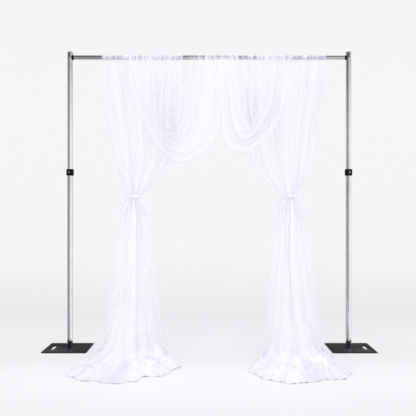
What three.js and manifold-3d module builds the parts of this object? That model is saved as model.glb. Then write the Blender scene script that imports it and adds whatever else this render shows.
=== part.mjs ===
// A free-standing pipe and drape backdrop: two telescoping uprights on steel base plates, a telescoping
// crossbar hooked between their tops, and two sheer drapes, each tied back, with a swag in front.
// Millimetres, +Z up. X runs along the crossbar, from the left upright to the right one, and -Y is the front.
import * as THREE from 'three';
import { mergeVertices } from 'three/addons/utils/BufferGeometryUtils.js';
import Module from 'manifold-3d';

const wasm = await Module();
wasm.setup();

// Driving dimensions

const fit = 0.3; // gap between pieces that touch or slide
const overrun = 6; // how far a cutter runs past what it cuts
const roundSides = 24;
const smallSides = 12;
const cornerSteps = 3;

const stand = {
  span: 2576, // between the axes of the two uprights
  height: 2743, // floor to the top of the caps
  rodDrop: 53, // from the top of the caps down to the crossbar's axis
  collarHeight: 1627, // floor to the collar's middle
  overlap: 240, // how much of the upper tube is inside the lower one
};
const rodHeight = stand.height - stand.rodDrop; // floor to the crossbar's axis

const plate = {
  width: 406,
  depth: 356,
  thickness: 6,
  corner: 14,
  bevel: 0.8,
  spigotOffset: 17, // the upright stands this far inboard of the plate's middle
  slotWidth: 30,
  slotLength: 125,
  slotFromEdge: 69,
};

const lowerTube = { radius: 25.4, wall: 1.3 };
const upperTube = { radius: 23.8, wall: 1.5 };
const spigot = { height: 150, wall: 4, floor: 10, chamfer: 3 };
const bolt = { radius: 6, headRadius: 10.5, past: 4 };
const nut = { flats: 19, height: 10 };

const hookSlot = { width: 10, height: 46, corner: 2.2, fromTop: 6, count: 4 };
const cap = { rise: 7, brim: 1, skirtDepth: 4, skirtWall: 2, steps: 4 };
const plug = { flange: 3, depth: 16, wall: 2.5 };

const collar = { radius: 35, height: 61, lip: 8, edge: 4 };
const housing = { width: 34, height: 45, reach: 39.5, corner: 6 };
const pocket = { width: 13, above: 12.5, below: 12 };
const collarScrew = { radius: 2.2, headRadius: 4.2, headDepth: 2.5, tip: 0.6 };

const lever = {
  width: 12,
  height: 21,
  plateThickness: 4,
  proud: 1,
  bodyWidth: 10,
  bodyDepth: 6.5,
  bodyBelow: 4,
  noseBottom: 5,
  noseTop: 10,
};
const pin = { radius: 1.5, length: 24, depth: 6.2 };
const spring = { radius: 2.4, wire: 0.45, turns: 4.5, stepsPerTurn: 8, wireSides: 5, below: 7.3 };

const outerBar = { radius: 19.05, wall: 1.5, end: 250 };
const innerBar = { radius: 17.2, wall: 1.5, start: -388 };
const barEnd = { clear: 37 }; // from an upright's axis to the tube's end
const bushing = { wall: 1, sleeve: 18, lip: 4 };
const endCap = { outerFace: 23.5, innerFace: 20.8, start: 21.5, stub: 28, cope: 0.5 };
const hook = { thickness: 6, above: 12, below: 10, lip: 11.5, lipWidth: 6, tang: 26 };
const rivet = { radius: 2.5, headRadius: 4.5, headHeight: 1.4, fromEnd: 16 };

const cloth = { thickness: 1.6, pocketWall: 1.6, splitGap: 0.5, floorGap: 0.6 };

// The panels hang from the crossbar and are drawn together at the tie. Shares run from the rod to the tie.
const panel = {
  pleats: 7,
  topFold: 3,
  fold: 36,
  tieFold: 24,
  tieHeight: 1409,
  tieHalfWidth: 50,
  tieForward: 40,
};
const dropShares = [0, 0.05, 0.25, 0.5, 0.7, 0.82, 0.9, 0.95, 0.984, 1];
const outerEdgeShares = [0, 0.012, 0.085, 0.29, 0.5, 0.63, 0.75, 0.87, 1, 1];
const innerEdgeShares = [0, 0.005, 0.03, 0.1, 0.25, 0.45, 0.67, 0.83, 1, 1];
const foldShares = [0, 0.25, 0.8, 1, 1, 0.85, 0.5, 0.2, 0, 0];
const ovalShares = [0, 0, 0, 0, 0.1, 0.25, 0.5, 0.8, 1, 1];

// The skirts run from the tie down to the floor, and on as a train. Shares run from the tie to the floor.
const skirt = {
  fold: 40,
  halfWidth: 300,
  kneeHeight: 34,
  kneeBack: 205,
  kneeBulge: 130,
  trainHalfWidth: 440,
  trainReach: 1040,
  trainMiddle: 450,
  trainAngle: 105,
  trainFold: 26,
  hemFold: 9,
};
const fallShares = [0, 0.015, 0.06, 0.16, 0.35, 0.61, 0.87, 1];
const spreadShares = [0, 0, 0.16, 0.32, 0.52, 0.75, 0.9, 1];
const trainShares = [0.34, 0.68, 1];

// A swag's curve runs from one rod loop down and up to the other. Across shares are shares of the width
// between its outer ends, and down shares are shares of the height from the rod to its lowest fold.
const swag = {
  folds: 3,
  fold: 15,
  bulge: 115,
  innerBulge: 62,
  saddleDrop: 9, // how far below the crossbar's axis the saddles over it reach
  steps: 16,
};
const outerAcrossShares = [0, 0.05, 0.16, 0.36, 0.62, 0.86, 0.965, 0.99];
const outerDownShares = [0, 0.25, 0.5, 0.82, 1, 0.86, 0.6, 0];
const innerAcrossShares = [0.5, 0.44, 0.36, 0.37, 0.56, 0.68, 0.72, 0.75];
const innerDownShares = [0, 0.2, 0.42, 0.66, 0.74, 0.62, 0.36, 0];

const sash = { halfHeight: 16, wall: 2.2, clear: 0.9, bulge: 4, sides: 28 };
const tail = { knot: 14, width: 62, length: 235, reach: 88, drop: 26, wall: 2 };

// Places along the crossbar, from the middle between the uprights. The swag falls by its share of the
// height from the rod to the tie. A loop's width is how much of the rod that end of the swag covers.
const leftDrape = {
  panelOuter: -993,
  panelInner: -243,
  tie: -692,
  swagOuter: -773,
  swagInner: 70,
  outerLoop: 437,
  innerLoop: 193,
  swagFallShare: 0.76,
};
const rightDrape = {
  panelOuter: 1070,
  panelInner: 290,
  tie: 751,
  swagOuter: 734,
  swagInner: 78,
  outerLoop: 358,
  innerLoop: 206,
  swagFallShare: 0.69,
};
const drapes = [
  { side: 'left', rod: outerBar, ...leftDrape },
  { side: 'right', rod: innerBar, ...rightDrape },
];

// Materials

function finish(color, roughness, metalness) {
  return new THREE.MeshStandardMaterial({ color, roughness, metalness });
}
const chrome = finish(0xc9cbcd, 0.2, 1);
const zinc = finish(0xb4b6b8, 0.4, 1);
const silver = finish(0xd2d3d4, 0.3, 1);
const blackPowder = finish(0x1b1b1d, 0.35, 0.1);
const blackPlastic = finish(0x151516, 0.3, 0);
const nylon = finish(0xd9d8d2, 0.5, 0);
const springSteel = finish(0x8f9193, 0.35, 1);
const sheer = finish(0xf4f2fa, 0.9, 0);

// Geometry and solids

// The geometry with its shared vertices merged, without empty triangles, and with its faces pointing out.
function closed(geometry) {
  geometry.deleteAttribute('normal');
  geometry.deleteAttribute('uv');
  const merged = mergeVertices(geometry);
  const index = merged.index.array;
  const kept = [];
  for (let i = 0; i < index.length; i += 3) {
    const [a, b, c] = [index[i], index[i + 1], index[i + 2]];
    if (a !== b && b !== c && c !== a) kept.push(a, b, c);
  }
  const positions = merged.attributes.position;
  const [p, q, r] = [new THREE.Vector3(), new THREE.Vector3(), new THREE.Vector3()];
  let volume = 0;
  for (let i = 0; i < kept.length; i += 3) {
    p.fromBufferAttribute(positions, kept[i]);
    q.fromBufferAttribute(positions, kept[i + 1]);
    r.fromBufferAttribute(positions, kept[i + 2]);
    volume += p.dot(q.cross(r));
  }
  merged.setIndex(volume < 0 ? kept.reverse() : kept);
  return merged;
}

function solid(geometry) {
  const ready = closed(geometry);
  return new wasm.Manifold(new wasm.Mesh({
    numProp: 3,
    vertProperties: new Float32Array(ready.attributes.position.array),
    triVerts: new Uint32Array(ready.index.array),
  }));
}

function geometryOf(body) {
  const mesh = body.getMesh();
  const geometry = new THREE.BufferGeometry();
  geometry.setAttribute('position', new THREE.BufferAttribute(mesh.vertProperties, mesh.numProp));
  geometry.setIndex(new THREE.BufferAttribute(mesh.triVerts, 1));
  const flat = geometry.toNonIndexed();
  flat.computeVertexNormals();
  return flat;
}

function join(first, ...others) {
  return others.reduce((whole, other) => whole.add(other), first);
}

function cut(first, ...others) {
  return others.reduce((whole, other) => whole.subtract(other), first);
}

// A solid turned round the Z axis from a profile of [radius, z] points that closes on itself.
function turned(profile, sides = roundSides) {
  const points = [...profile, profile[0]].map(([r, z]) => new THREE.Vector2(r, z));
  return new THREE.LatheGeometry(points, sides).rotateX(Math.PI / 2);
}

function ring(outer, inner, low, high, sides = roundSides) {
  return turned([[inner, low], [outer, low], [outer, high], [inner, high]], sides);
}

function rod(radius, low, high, sides = smallSides) {
  return new THREE.CylinderGeometry(radius, radius, high - low, sides)
    .rotateX(Math.PI / 2).translate(0, 0, (low + high) / 2);
}

function block(lowX, highX, lowY, highY, lowZ, highZ) {
  return new THREE.BoxGeometry(highX - lowX, highY - lowY, highZ - lowZ)
    .translate((lowX + highX) / 2, (lowY + highY) / 2, (lowZ + highZ) / 2);
}

function roundedRectangle(path, width, height, corner) {
  const [x, y] = [width / 2, height / 2];
  path.moveTo(corner - x, -y);
  path.lineTo(x - corner, -y);
  path.absarc(x - corner, corner - y, corner, -Math.PI / 2, 0);
  path.lineTo(x, y - corner);
  path.absarc(x - corner, y - corner, corner, 0, Math.PI / 2);
  path.lineTo(corner - x, y);
  path.absarc(corner - x, y - corner, corner, Math.PI / 2, Math.PI);
  path.lineTo(-x, corner - y);
  path.absarc(corner - x, corner - y, corner, Math.PI, Math.PI * 1.5);
  return path;
}

// A slab with rounded corners in the XZ plane, from lowY to highY.
function frontSlab(width, height, corner, lowY, highY) {
  const outline = roundedRectangle(new THREE.Shape(), width, height, corner);
  return new THREE.ExtrudeGeometry(outline, {
    depth: highY - lowY, bevelEnabled: false, curveSegments: cornerSteps,
  }).rotateX(Math.PI / 2).translate(0, highY, 0);
}

// An outline of [x, z] points, extruded evenly on both sides of the XZ plane.
function sidePlate(outline, thickness) {
  const shape = new THREE.Shape(outline.map(([x, z]) => new THREE.Vector2(x, z)));
  return new THREE.ExtrudeGeometry(shape, { depth: thickness, bevelEnabled: false })
    .rotateX(Math.PI / 2).translate(0, thickness / 2, 0);
}

const backdrop = new THREE.Group();

function piece(name, shape, material, x = 0, y = 0, z = 0) {
  const geometry = shape instanceof THREE.BufferGeometry ? geometryOf(solid(shape)) : geometryOf(shape);
  const mesh = new THREE.Mesh(geometry, material);
  mesh.name = name;
  mesh.position.set(x, y, z);
  backdrop.add(mesh);
  return mesh;
}

// Base

const lowerBore = lowerTube.radius - lowerTube.wall;
const upperBore = upperTube.radius - upperTube.wall;
const plateTop = plate.thickness + fit;

function basePlate(inboard) {
  const outline = roundedRectangle(
    new THREE.Shape(), plate.width - 2 * plate.bevel, plate.depth - 2 * plate.bevel, plate.corner);
  const body = solid(new THREE.ExtrudeGeometry(outline, {
    depth: plate.thickness - 2 * plate.bevel,
    bevelThickness: plate.bevel,
    bevelSize: plate.bevel,
    bevelSegments: 1,
    curveSegments: cornerSteps,
  }).translate(-inboard * plate.spigotOffset, 0, plate.bevel));
  const slotShape = roundedRectangle(
    new THREE.Shape(), plate.slotWidth, plate.slotLength, plate.slotWidth / 2 - fit);
  const slotX = -inboard * (plate.spigotOffset + plate.width / 2 - plate.slotFromEdge);
  const slot = solid(new THREE.ExtrudeGeometry(slotShape, {
    depth: plate.thickness + 2 * overrun, bevelEnabled: false, curveSegments: cornerSteps,
  }).translate(slotX, 0, -overrun));
  const hole = solid(rod(bolt.radius + fit, -overrun, plate.thickness + overrun));
  const sinkDepth = bolt.headRadius - bolt.radius + fit;
  const sink = solid(turned([
    [0, -overrun],
    [bolt.headRadius + fit + overrun, -overrun],
    [bolt.headRadius + fit, 0],
    [bolt.headRadius + fit - sinkDepth, sinkDepth],
    [0, sinkDepth],
  ], smallSides));
  return cut(body, slot, hole, sink);
}

function spigotTube() {
  const radius = lowerBore - fit;
  return turned([
    [bolt.radius + fit, 0],
    [radius, 0],
    [radius, spigot.height - spigot.chamfer],
    [radius - spigot.chamfer, spigot.height],
    [radius - spigot.wall, spigot.height],
    [radius - spigot.wall, spigot.floor],
    [bolt.radius + fit, spigot.floor],
  ]);
}

const nutBottom = plateTop + spigot.floor + fit;

function baseBolt() {
  const taper = bolt.headRadius - bolt.radius;
  return turned([
    [0, 0],
    [bolt.headRadius, 0],
    [bolt.radius, taper],
    [bolt.radius, nutBottom + nut.height + bolt.past],
    [0, nutBottom + nut.height + bolt.past],
  ], smallSides);
}

function baseNut() {
  const corners = nut.flats / Math.sqrt(3);
  const body = solid(rod(corners, 0, nut.height, 6));
  return cut(body, solid(rod(bolt.radius + fit, -overrun, nut.height + overrun)));
}

// Collar and release lever, from the collar's middle

const collarLow = -collar.height / 2;
const collarHigh = collar.height / 2;
const lowerTubeTop = collarHigh - collar.lip - fit;
const pinY = -(housing.reach - pin.depth);
const leverFront = -(housing.reach + lever.proud);
const leverBack = leverFront + lever.plateThickness;
const noseTip = -(upperTube.radius + fit);
const springZ = -spring.below;

function collarBody() {
  const bore = lowerTube.radius + fit;
  const lipBore = upperTube.radius + fit;
  const sleeve = solid(turned([
    [bore, collarLow],
    [collar.radius - collar.edge, collarLow],
    [collar.radius, collarLow + collar.edge],
    [collar.radius, collarHigh - collar.edge],
    [collar.radius - collar.edge, collarHigh],
    [lipBore, collarHigh],
    [lipBore, collarHigh - collar.lip],
    [bore, collarHigh - collar.lip],
  ]));
  const front = solid(frontSlab(housing.width, housing.height, housing.corner, -housing.reach, 0));
  const clearance = solid(rod(bore, collarLow, collarHigh - collar.lip, roundSides));
  const lipClearance = solid(rod(lipBore, 0, collarHigh, roundSides));
  const opening = solid(block(
    -pocket.width / 2, pocket.width / 2, -housing.reach - overrun, 0, -pocket.below, pocket.above));
  const pinHole = solid(rod(pin.radius + fit, -pin.length / 2 - fit, pin.length / 2 + fit)
    .rotateY(Math.PI / 2).translate(0, pinY, 0));
  const screwHole = solid(rod(collarScrew.radius + fit, 0, collar.radius + overrun)
    .rotateX(-Math.PI / 2));
  const screwSink = solid(rod(
    collarScrew.headRadius + fit, collar.radius - collarScrew.headDepth - fit, collar.radius + overrun)
    .rotateX(-Math.PI / 2));
  return cut(join(sleeve, front), clearance, lipClearance, opening, pinHole, screwHole, screwSink);
}

function collarScrewBody() {
  const end = collar.radius - collarScrew.headDepth;
  return turned([
    [0, upperTube.radius + collarScrew.tip],
    [collarScrew.radius, upperTube.radius + collarScrew.tip],
    [collarScrew.radius, end],
    [collarScrew.headRadius, end],
    [collarScrew.headRadius, collar.radius - fit],
    [0, collar.radius - fit],
  ], smallSides).rotateX(-Math.PI / 2);
}

function releaseLever() {
  const face = solid(frontSlab(
    lever.width, lever.height, lever.width / 2 - fit, leverFront, leverBack));
  const bodyBack = leverBack + lever.bodyDepth;
  const outline = [
    [leverBack - fit, -lever.bodyBelow],
    [bodyBack, -lever.bodyBelow],
    [bodyBack, lever.noseBottom - fit],
    [noseTip, lever.noseBottom],
    [noseTip, lever.noseTop],
    [leverBack - fit, lever.noseTop],
  ];
  const body = solid(sidePlate(outline, lever.bodyWidth).rotateZ(Math.PI / 2));
  const hole = solid(rod(pin.radius + fit, -lever.width, lever.width)
    .rotateY(Math.PI / 2).translate(0, pinY, 0));
  return cut(join(face, body), hole);
}

function leverPin() {
  return rod(pin.radius, -pin.length / 2, pin.length / 2).rotateY(Math.PI / 2).translate(0, pinY, 0);
}

// A coil along Y, as one unbroken tube whose ends stay open turns.
function leverSpring() {
  const low = leverBack + fit + spring.wire;
  const high = -(lowerTube.radius + fit + spring.wire);
  const steps = Math.round(spring.turns * spring.stepsPerTurn);
  const centres = [];
  for (let i = 0; i <= steps; i += 1) {
    const angle = (2 * Math.PI * i) / spring.stepsPerTurn;
    const y = low + ((high - low) * i) / steps;
    centres.push([Math.cos(angle), Math.sin(angle), y]);
  }
  const vertices = [];
  for (const [cos, sin, y] of centres) {
    for (let k = 0; k < spring.wireSides; k += 1) {
      const turn = (2 * Math.PI * k) / spring.wireSides;
      const r = spring.radius + spring.wire * Math.cos(turn);
      vertices.push(r * cos, y + spring.wire * Math.sin(turn), springZ + r * sin);
    }
  }
  return tubeGeometry(vertices, centres.length, spring.wireSides);
}

// Triangles for rings of vertices in a row, closed by a fan at each end.
function tubeGeometry(vertices, rings, sides) {
  const index = [];
  for (let i = 0; i + 1 < rings; i += 1) {
    for (let k = 0; k < sides; k += 1) {
      const [a, b] = [i * sides + k, i * sides + ((k + 1) % sides)];
      index.push(a, b, b + sides, a, b + sides, a + sides);
    }
  }
  const last = (rings - 1) * sides;
  for (let k = 1; k + 1 < sides; k += 1) {
    index.push(0, k + 1, k);
    index.push(last, last + k, last + k + 1);
  }
  const geometry = new THREE.BufferGeometry();
  geometry.setAttribute('position', new THREE.Float32BufferAttribute(vertices, 3));
  geometry.setIndex(index);
  return geometry;
}

// Uprights

const tubeTop = stand.height - cap.rise - cap.brim;
const upperTubeBottom = stand.collarHeight + lowerTubeTop - stand.overlap;
const slotTop = tubeTop - hookSlot.fromTop;
const slotBottom = slotTop - hookSlot.height;

function lowerTubeBody() {
  const top = stand.collarHeight + lowerTubeTop;
  const body = solid(ring(lowerTube.radius, lowerBore, plateTop, top));
  const noseZ = stand.collarHeight;
  const window = solid(block(
    -pocket.width / 2, pocket.width / 2, -lowerTube.radius - overrun, 0,
    noseZ + lever.noseBottom - lever.proud, noseZ + pocket.above));
  const screwHole = solid(rod(collarScrew.radius + fit, 0, lowerTube.radius + overrun)
    .rotateX(-Math.PI / 2).translate(0, 0, noseZ));
  return cut(body, window, screwHole);
}

function slotCutter() {
  const slot = frontSlab(
    hookSlot.width, hookSlot.height, hookSlot.corner, 0, upperTube.radius + overrun);
  return slot.translate(0, 0, (slotTop + slotBottom) / 2);
}

function upperTubeBody() {
  const body = solid(ring(upperTube.radius, upperBore, upperTubeBottom, tubeTop));
  const slots = [];
  for (let i = 0; i < hookSlot.count; i += 1) {
    slots.push(solid(slotCutter().rotateZ((2 * Math.PI * i) / hookSlot.count)));
  }
  return cut(body, ...slots);
}

function tubePlug(radius, bore) {
  return turned([
    [bore - fit - plug.wall, -plug.flange - fit],
    [radius, -plug.flange - fit],
    [radius, -fit],
    [bore - fit, -fit],
    [bore - fit, plug.depth],
    [bore - fit - plug.wall, plug.depth],
  ]);
}

function topCap() {
  const brim = upperTube.radius + cap.brim;
  const skirtRadius = upperBore - fit;
  const dome = [];
  for (let i = 0; i <= cap.steps; i += 1) {
    const angle = (Math.PI / 2) * (i / cap.steps);
    dome.push([brim * Math.cos(angle), cap.brim + cap.rise * Math.sin(angle)]);
  }
  const under = [
    [0, -fit],
    [skirtRadius - cap.skirtWall, -fit],
    [skirtRadius - cap.skirtWall, -cap.skirtDepth],
    [skirtRadius, -cap.skirtDepth],
    [skirtRadius, fit],
    [brim, fit],
  ];
  return turned([...under, ...dome]);
}

// Crossbar, from the floor at the middle between the uprights

const leftEnd = -stand.span / 2 + barEnd.clear;
const rightEnd = stand.span / 2 - barEnd.clear;

function alongX(geometry) {
  return geometry.rotateY(Math.PI / 2).translate(0, 0, rodHeight);
}

function barTube(bar, low, high, rivetX) {
  const body = solid(alongX(ring(bar.radius, bar.radius - bar.wall, low, high)));
  const hole = solid(rod(rivet.radius + fit, -bar.radius - overrun, bar.radius + overrun)
    .rotateX(Math.PI / 2).translate(rivetX, 0, rodHeight));
  return cut(body, hole);
}

function barBushing() {
  const low = outerBar.end - bushing.sleeve;
  const outside = outerBar.radius + fit + bushing.wall;
  return alongX(turned([
    [outerBar.radius + fit, low],
    [outside, low],
    [outside, outerBar.end + fit + bushing.lip],
    [innerBar.radius + fit, outerBar.end + fit + bushing.lip],
    [innerBar.radius + fit, outerBar.end + fit],
    [outerBar.radius + fit, outerBar.end + fit],
  ]));
}

// The hook and the cap of an end, with the upright's axis at X 0 and the crossbar towards +X.
const hookSeat = slotBottom - rodHeight + fit;

function hookOutline(grow) {
  const inside = upperBore - fit * 2;
  const outside = upperTube.radius + endCap.cope + fit;
  const end = barEnd.clear + hook.tang;
  return [
    [end + grow, hook.above + grow],
    [inside - hook.lipWidth, hook.above + grow],
    [inside - hook.lipWidth, hookSeat - hook.lip],
    [inside, hookSeat - hook.lip],
    [inside, hookSeat],
    [outside, hookSeat],
    [outside, -hook.below - grow],
    [end + grow, -hook.below - grow],
  ];
}

function hookBody() {
  const body = solid(sidePlate(hookOutline(0), hook.thickness));
  const hole = solid(rod(rivet.radius + fit, -hook.thickness, hook.thickness)
    .rotateX(Math.PI / 2).translate(barEnd.clear + rivet.fromEnd, 0, 0));
  return cut(body, hole);
}

function endCapBody(bar, face) {
  const stubRadius = bar.radius - bar.wall - fit;
  const body = solid(turned([
    [0, 0],
    [face, 0],
    [face, upperTube.radius + endCap.cope],
    [bar.radius, barEnd.clear - fit],
    [stubRadius, barEnd.clear - fit],
    [stubRadius, barEnd.clear + endCap.stub],
    [0, barEnd.clear + endCap.stub],
  ]).rotateY(Math.PI / 2));
  const cope = solid(rod(upperTube.radius + endCap.cope, -face - overrun, face + overrun, roundSides));
  const back = solid(block(
    -overrun, endCap.start, -face - overrun, face + overrun, -face - overrun, face + overrun));
  const slot = solid(sidePlate(hookOutline(fit), hook.thickness + 2 * fit));
  const hole = solid(rod(rivet.radius + fit, -bar.radius - overrun, bar.radius + overrun)
    .rotateX(Math.PI / 2).translate(barEnd.clear + rivet.fromEnd, 0, 0));
  return cut(body, cope, back, slot, hole);
}

function hookRivet(bar) {
  const reach = bar.radius + fit;
  return turned([
    [0, -reach - rivet.headHeight],
    [rivet.headRadius, -reach - rivet.headHeight],
    [rivet.headRadius, -reach],
    [rivet.radius, -reach],
    [rivet.radius, reach],
    [rivet.headRadius, reach],
    [rivet.headRadius, reach + rivet.headHeight],
    [0, reach + rivet.headHeight],
  ], smallSides).rotateX(Math.PI / 2);
}

// Cloth

// A sheet of rows of points, thickened evenly on both sides along its normals and closed round its edges.
// The level row, if any, is an end that is cut off level.
function sheetSolid(rows, thickness, levelRow = -1) {
  const [down, across] = [rows.length, rows[0].length];
  const sides = [-1, 1].map((sign) => rows.map((row, i) => row.map((point, j) => {
    const alongRow = new THREE.Vector3().subVectors(row[Math.min(j + 1, across - 1)], row[Math.max(j - 1, 0)]);
    const alongColumn = new THREE.Vector3()
      .subVectors(rows[Math.min(i + 1, down - 1)][j], rows[Math.max(i - 1, 0)][j]);
    const normal = alongRow.cross(alongColumn);
    if (i === levelRow) normal.z = 0;
    normal.normalize();
    return point.clone().addScaledVector(normal, (sign * thickness) / 2);
  })));
  const vertices = sides.flat(2).flatMap((point) => point.toArray());
  const at = (side, i, j) => (side * down + i) * across + j;
  const index = [];
  const quad = (a, b, c, d) => index.push(a, b, c, a, c, d);
  for (let i = 0; i + 1 < down; i += 1) {
    for (let j = 0; j + 1 < across; j += 1) {
      quad(at(0, i, j), at(0, i, j + 1), at(0, i + 1, j + 1), at(0, i + 1, j));
      quad(at(1, i, j), at(1, i + 1, j), at(1, i + 1, j + 1), at(1, i, j + 1));
    }
    quad(at(0, i, 0), at(0, i + 1, 0), at(1, i + 1, 0), at(1, i, 0));
    quad(at(0, i, across - 1), at(1, i, across - 1), at(1, i + 1, across - 1), at(0, i + 1, across - 1));
  }
  for (let j = 0; j + 1 < across; j += 1) {
    quad(at(0, 0, j), at(1, 0, j), at(1, 0, j + 1), at(0, 0, j + 1));
    quad(at(0, down - 1, j), at(0, down - 1, j + 1), at(1, down - 1, j + 1), at(1, down - 1, j));
  }
  const geometry = new THREE.BufferGeometry();
  geometry.setAttribute('position', new THREE.Float32BufferAttribute(vertices, 3));
  geometry.setIndex(index);
  return geometry;
}

// A fold's height, from -1 to 1, in four steps a pleat.
function pleat(step) {
  return Math.sin((Math.PI / 2) * step);
}

// At the tie the folds fill an oval; away from it they are as deep at the sides as in the middle.
function ovalDepth(across, tied) {
  return mix(1, Math.sqrt(Math.max(0, 1 - across * across)), tied);
}

function mix(from, to, share) {
  return from + (to - from) * share;
}

function pocketRadius(bar) {
  return bar.radius + fit + cloth.pocketWall / 2;
}

function rodTube(innerRadius, low, high) {
  const ends = [Math.min(low, high), Math.max(low, high)];
  return solid(alongX(ring(innerRadius + cloth.pocketWall, innerRadius, ...ends)));
}

// The part of a tube round the rod that hangs over it like a saddle, open below.
function rodSaddle(innerRadius, low, high) {
  const [left, right] = [Math.min(low, high) - overrun, Math.max(low, high) + overrun];
  const reach = innerRadius + cloth.pocketWall + overrun;
  const below = block(
    left, right, -reach, reach, rodHeight - reach, rodHeight - swag.saddleDrop);
  return cut(rodTube(innerRadius, low, high), solid(below));
}

function upperPanel(drape) {
  const bottom = panel.tieHeight + cloth.splitGap / 2;
  const top = rodHeight - pocketRadius(drape.rod);
  const outward = Math.sign(drape.panelOuter - drape.panelInner);
  const steps = panel.pleats * 4;
  const rows = dropShares.map((drop, i) => {
    const outer = mix(drape.panelOuter, drape.tie + outward * panel.tieHalfWidth, outerEdgeShares[i]);
    const inner = mix(drape.panelInner, drape.tie - outward * panel.tieHalfWidth, innerEdgeShares[i]);
    const fold = mix(mix(panel.topFold, panel.tieFold, drop), panel.fold, foldShares[i]);
    const row = [];
    for (let j = 0; j <= steps; j += 1) {
      const x = mix(outer, inner, j / steps);
      const depth = fold * ovalDepth(1 - (2 * j) / steps, ovalShares[i]);
      row.push(new THREE.Vector3(x, -panel.tieForward * drop + depth * pleat(j), mix(top, bottom, drop)));
    }
    return row;
  });
  const hanging = solid(sheetSolid(rows, cloth.thickness, rows.length - 1));
  return join(rodTube(drape.rod.radius + fit, drape.panelOuter, drape.panelInner), hanging);
}

function skirtPanel(drape) {
  const top = panel.tieHeight - cloth.splitGap / 2;
  const steps = panel.pleats * 4;
  const outward = Math.sign(drape.panelOuter - drape.panelInner);
  const knee = (share) => {
    const across = 1 - 2 * share;
    return new THREE.Vector3(
      drape.tie + outward * across * skirt.halfWidth,
      -skirt.kneeBack - skirt.kneeBulge * (1 - across * across),
      skirt.kneeHeight,
    );
  };
  const angle = THREE.MathUtils.degToRad(skirt.trainAngle);
  const floorLift = skirt.hemFold + cloth.thickness + cloth.floorGap;
  const hem = (share) => {
    const turn = (1 - 2 * share) * angle;
    return new THREE.Vector3(
      drape.tie + outward * skirt.trainHalfWidth * Math.sin(turn),
      -skirt.trainMiddle - (skirt.trainReach - skirt.trainMiddle) * Math.cos(turn),
      floorLift,
    );
  };
  const rows = fallShares.map((fall, i) => {
    const fold = mix(panel.tieFold, skirt.fold, spreadShares[i]) * mix(1, 0.6, fall ** 6);
    const row = [];
    for (let j = 0; j <= steps; j += 1) {
      const across = 1 - (2 * j) / steps;
      const end = knee(j / steps);
      const x = drape.tie + outward * across * mix(panel.tieHalfWidth, skirt.halfWidth, spreadShares[i]);
      const y = mix(-panel.tieForward, end.y, fall ** 1.6);
      const depth = fold * ovalDepth(across, 1 - spreadShares[i]);
      row.push(new THREE.Vector3(x, y + depth * pleat(j), mix(top, end.z, fall)));
    }
    return row;
  });
  trainShares.forEach((share) => {
    const fold = mix(skirt.trainFold, skirt.hemFold, share);
    const row = [];
    for (let j = 0; j <= steps; j += 1) {
      const point = knee(j / steps).lerp(hem(j / steps), share);
      const lift = mix(skirt.kneeHeight, floorLift, share);
      point.z = Math.max(lift, fold + cloth.thickness + cloth.floorGap) + fold * pleat(j);
      row.push(point);
    }
    rows.push(row);
  });
  return solid(sheetSolid(rows, cloth.thickness, 0));
}

// A smooth curve through values spaced evenly from 0 to 1.
function smooth(values, share) {
  const place = share * (values.length - 1);
  const i = Math.min(Math.floor(place), values.length - 2);
  const t = place - i;
  const before = values[Math.max(i - 1, 0)];
  const after = values[Math.min(i + 2, values.length - 1)];
  const [a, b] = [values[i], values[i + 1]];
  return 0.5 * (
    2 * a + (b - before) * t + (2 * before - 5 * a + 4 * b - after) * t * t
    + (3 * a - before - 3 * b + after) * t * t * t
  );
}

function swagPanel(drape) {
  const loopRadius = outerBar.radius + fit + cloth.pocketWall + fit;
  const front = -(loopRadius + cloth.pocketWall / 2);
  const width = drape.swagInner - drape.swagOuter;
  const height = (rodHeight - panel.tieHeight) * drape.swagFallShare;
  const across = swag.folds * 4;
  const rows = [];
  for (let i = 0; i <= swag.steps; i += 1) {
    const share = i / swag.steps;
    const hang = Math.sin(Math.PI * share) ** 0.8;
    const row = [];
    for (let j = 0; j <= across; j += 1) {
      const inward = j / across;
      const x = mix(smooth(outerAcrossShares, share), smooth(innerAcrossShares, share), inward);
      const down = mix(smooth(outerDownShares, share), smooth(innerDownShares, share), inward);
      const bulge = mix(swag.bulge, swag.innerBulge, inward) * hang;
      const ripple = swag.fold * hang * (1 + pleat(j));
      row.push(new THREE.Vector3(
        drape.swagOuter + width * x, front - bulge - ripple, rodHeight - height * down));
    }
    rows.push(row);
  }
  const band = solid(sheetSolid(rows, cloth.thickness));
  const inward = Math.sign(width);
  return join(
    band,
    rodSaddle(loopRadius, drape.swagOuter, drape.swagOuter + inward * drape.outerLoop),
    rodSaddle(loopRadius, drape.swagInner, drape.swagInner - inward * drape.innerLoop),
  );
}

function sashRing(drape) {
  const outside = cloth.thickness / 2 + sash.clear + sash.wall;
  const outerX = panel.tieHalfWidth + outside;
  const outerY = panel.tieFold + outside;
  const profile = [
    [1 - sash.wall / outerX, -sash.halfHeight],
    [1, -sash.halfHeight],
    [1 + sash.bulge / outerX, 0],
    [1, sash.halfHeight],
    [1 - sash.wall / outerX, sash.halfHeight],
  ];
  const band = solid(turned(profile, sash.sides).scale(outerX, outerY, 1));
  const tails = [-1, 1].map((sign) => {
    const shape = new THREE.Shape();
    const inner = tail.reach - tail.width;
    shape.moveTo(-sign * tail.knot, sash.halfHeight);
    shape.lineTo(sign * tail.knot, sash.halfHeight);
    shape.quadraticCurveTo(sign * tail.reach, -tail.length / 4, sign * tail.reach, -tail.length);
    shape.lineTo(sign * inner, tail.drop - tail.length);
    shape.quadraticCurveTo(sign * inner, -tail.length / 4, -sign * tail.knot, -sash.halfHeight);
    return solid(new THREE.ExtrudeGeometry(shape, {
      depth: tail.wall, bevelEnabled: false, curveSegments: cornerSteps,
    }).rotateX(Math.PI / 2).translate(0, outerY - sash.wall / 2 + tail.wall / 2, 0));
  });
  return join(band, ...tails).translate([drape.tie, -panel.tieForward, panel.tieHeight]);
}

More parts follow.
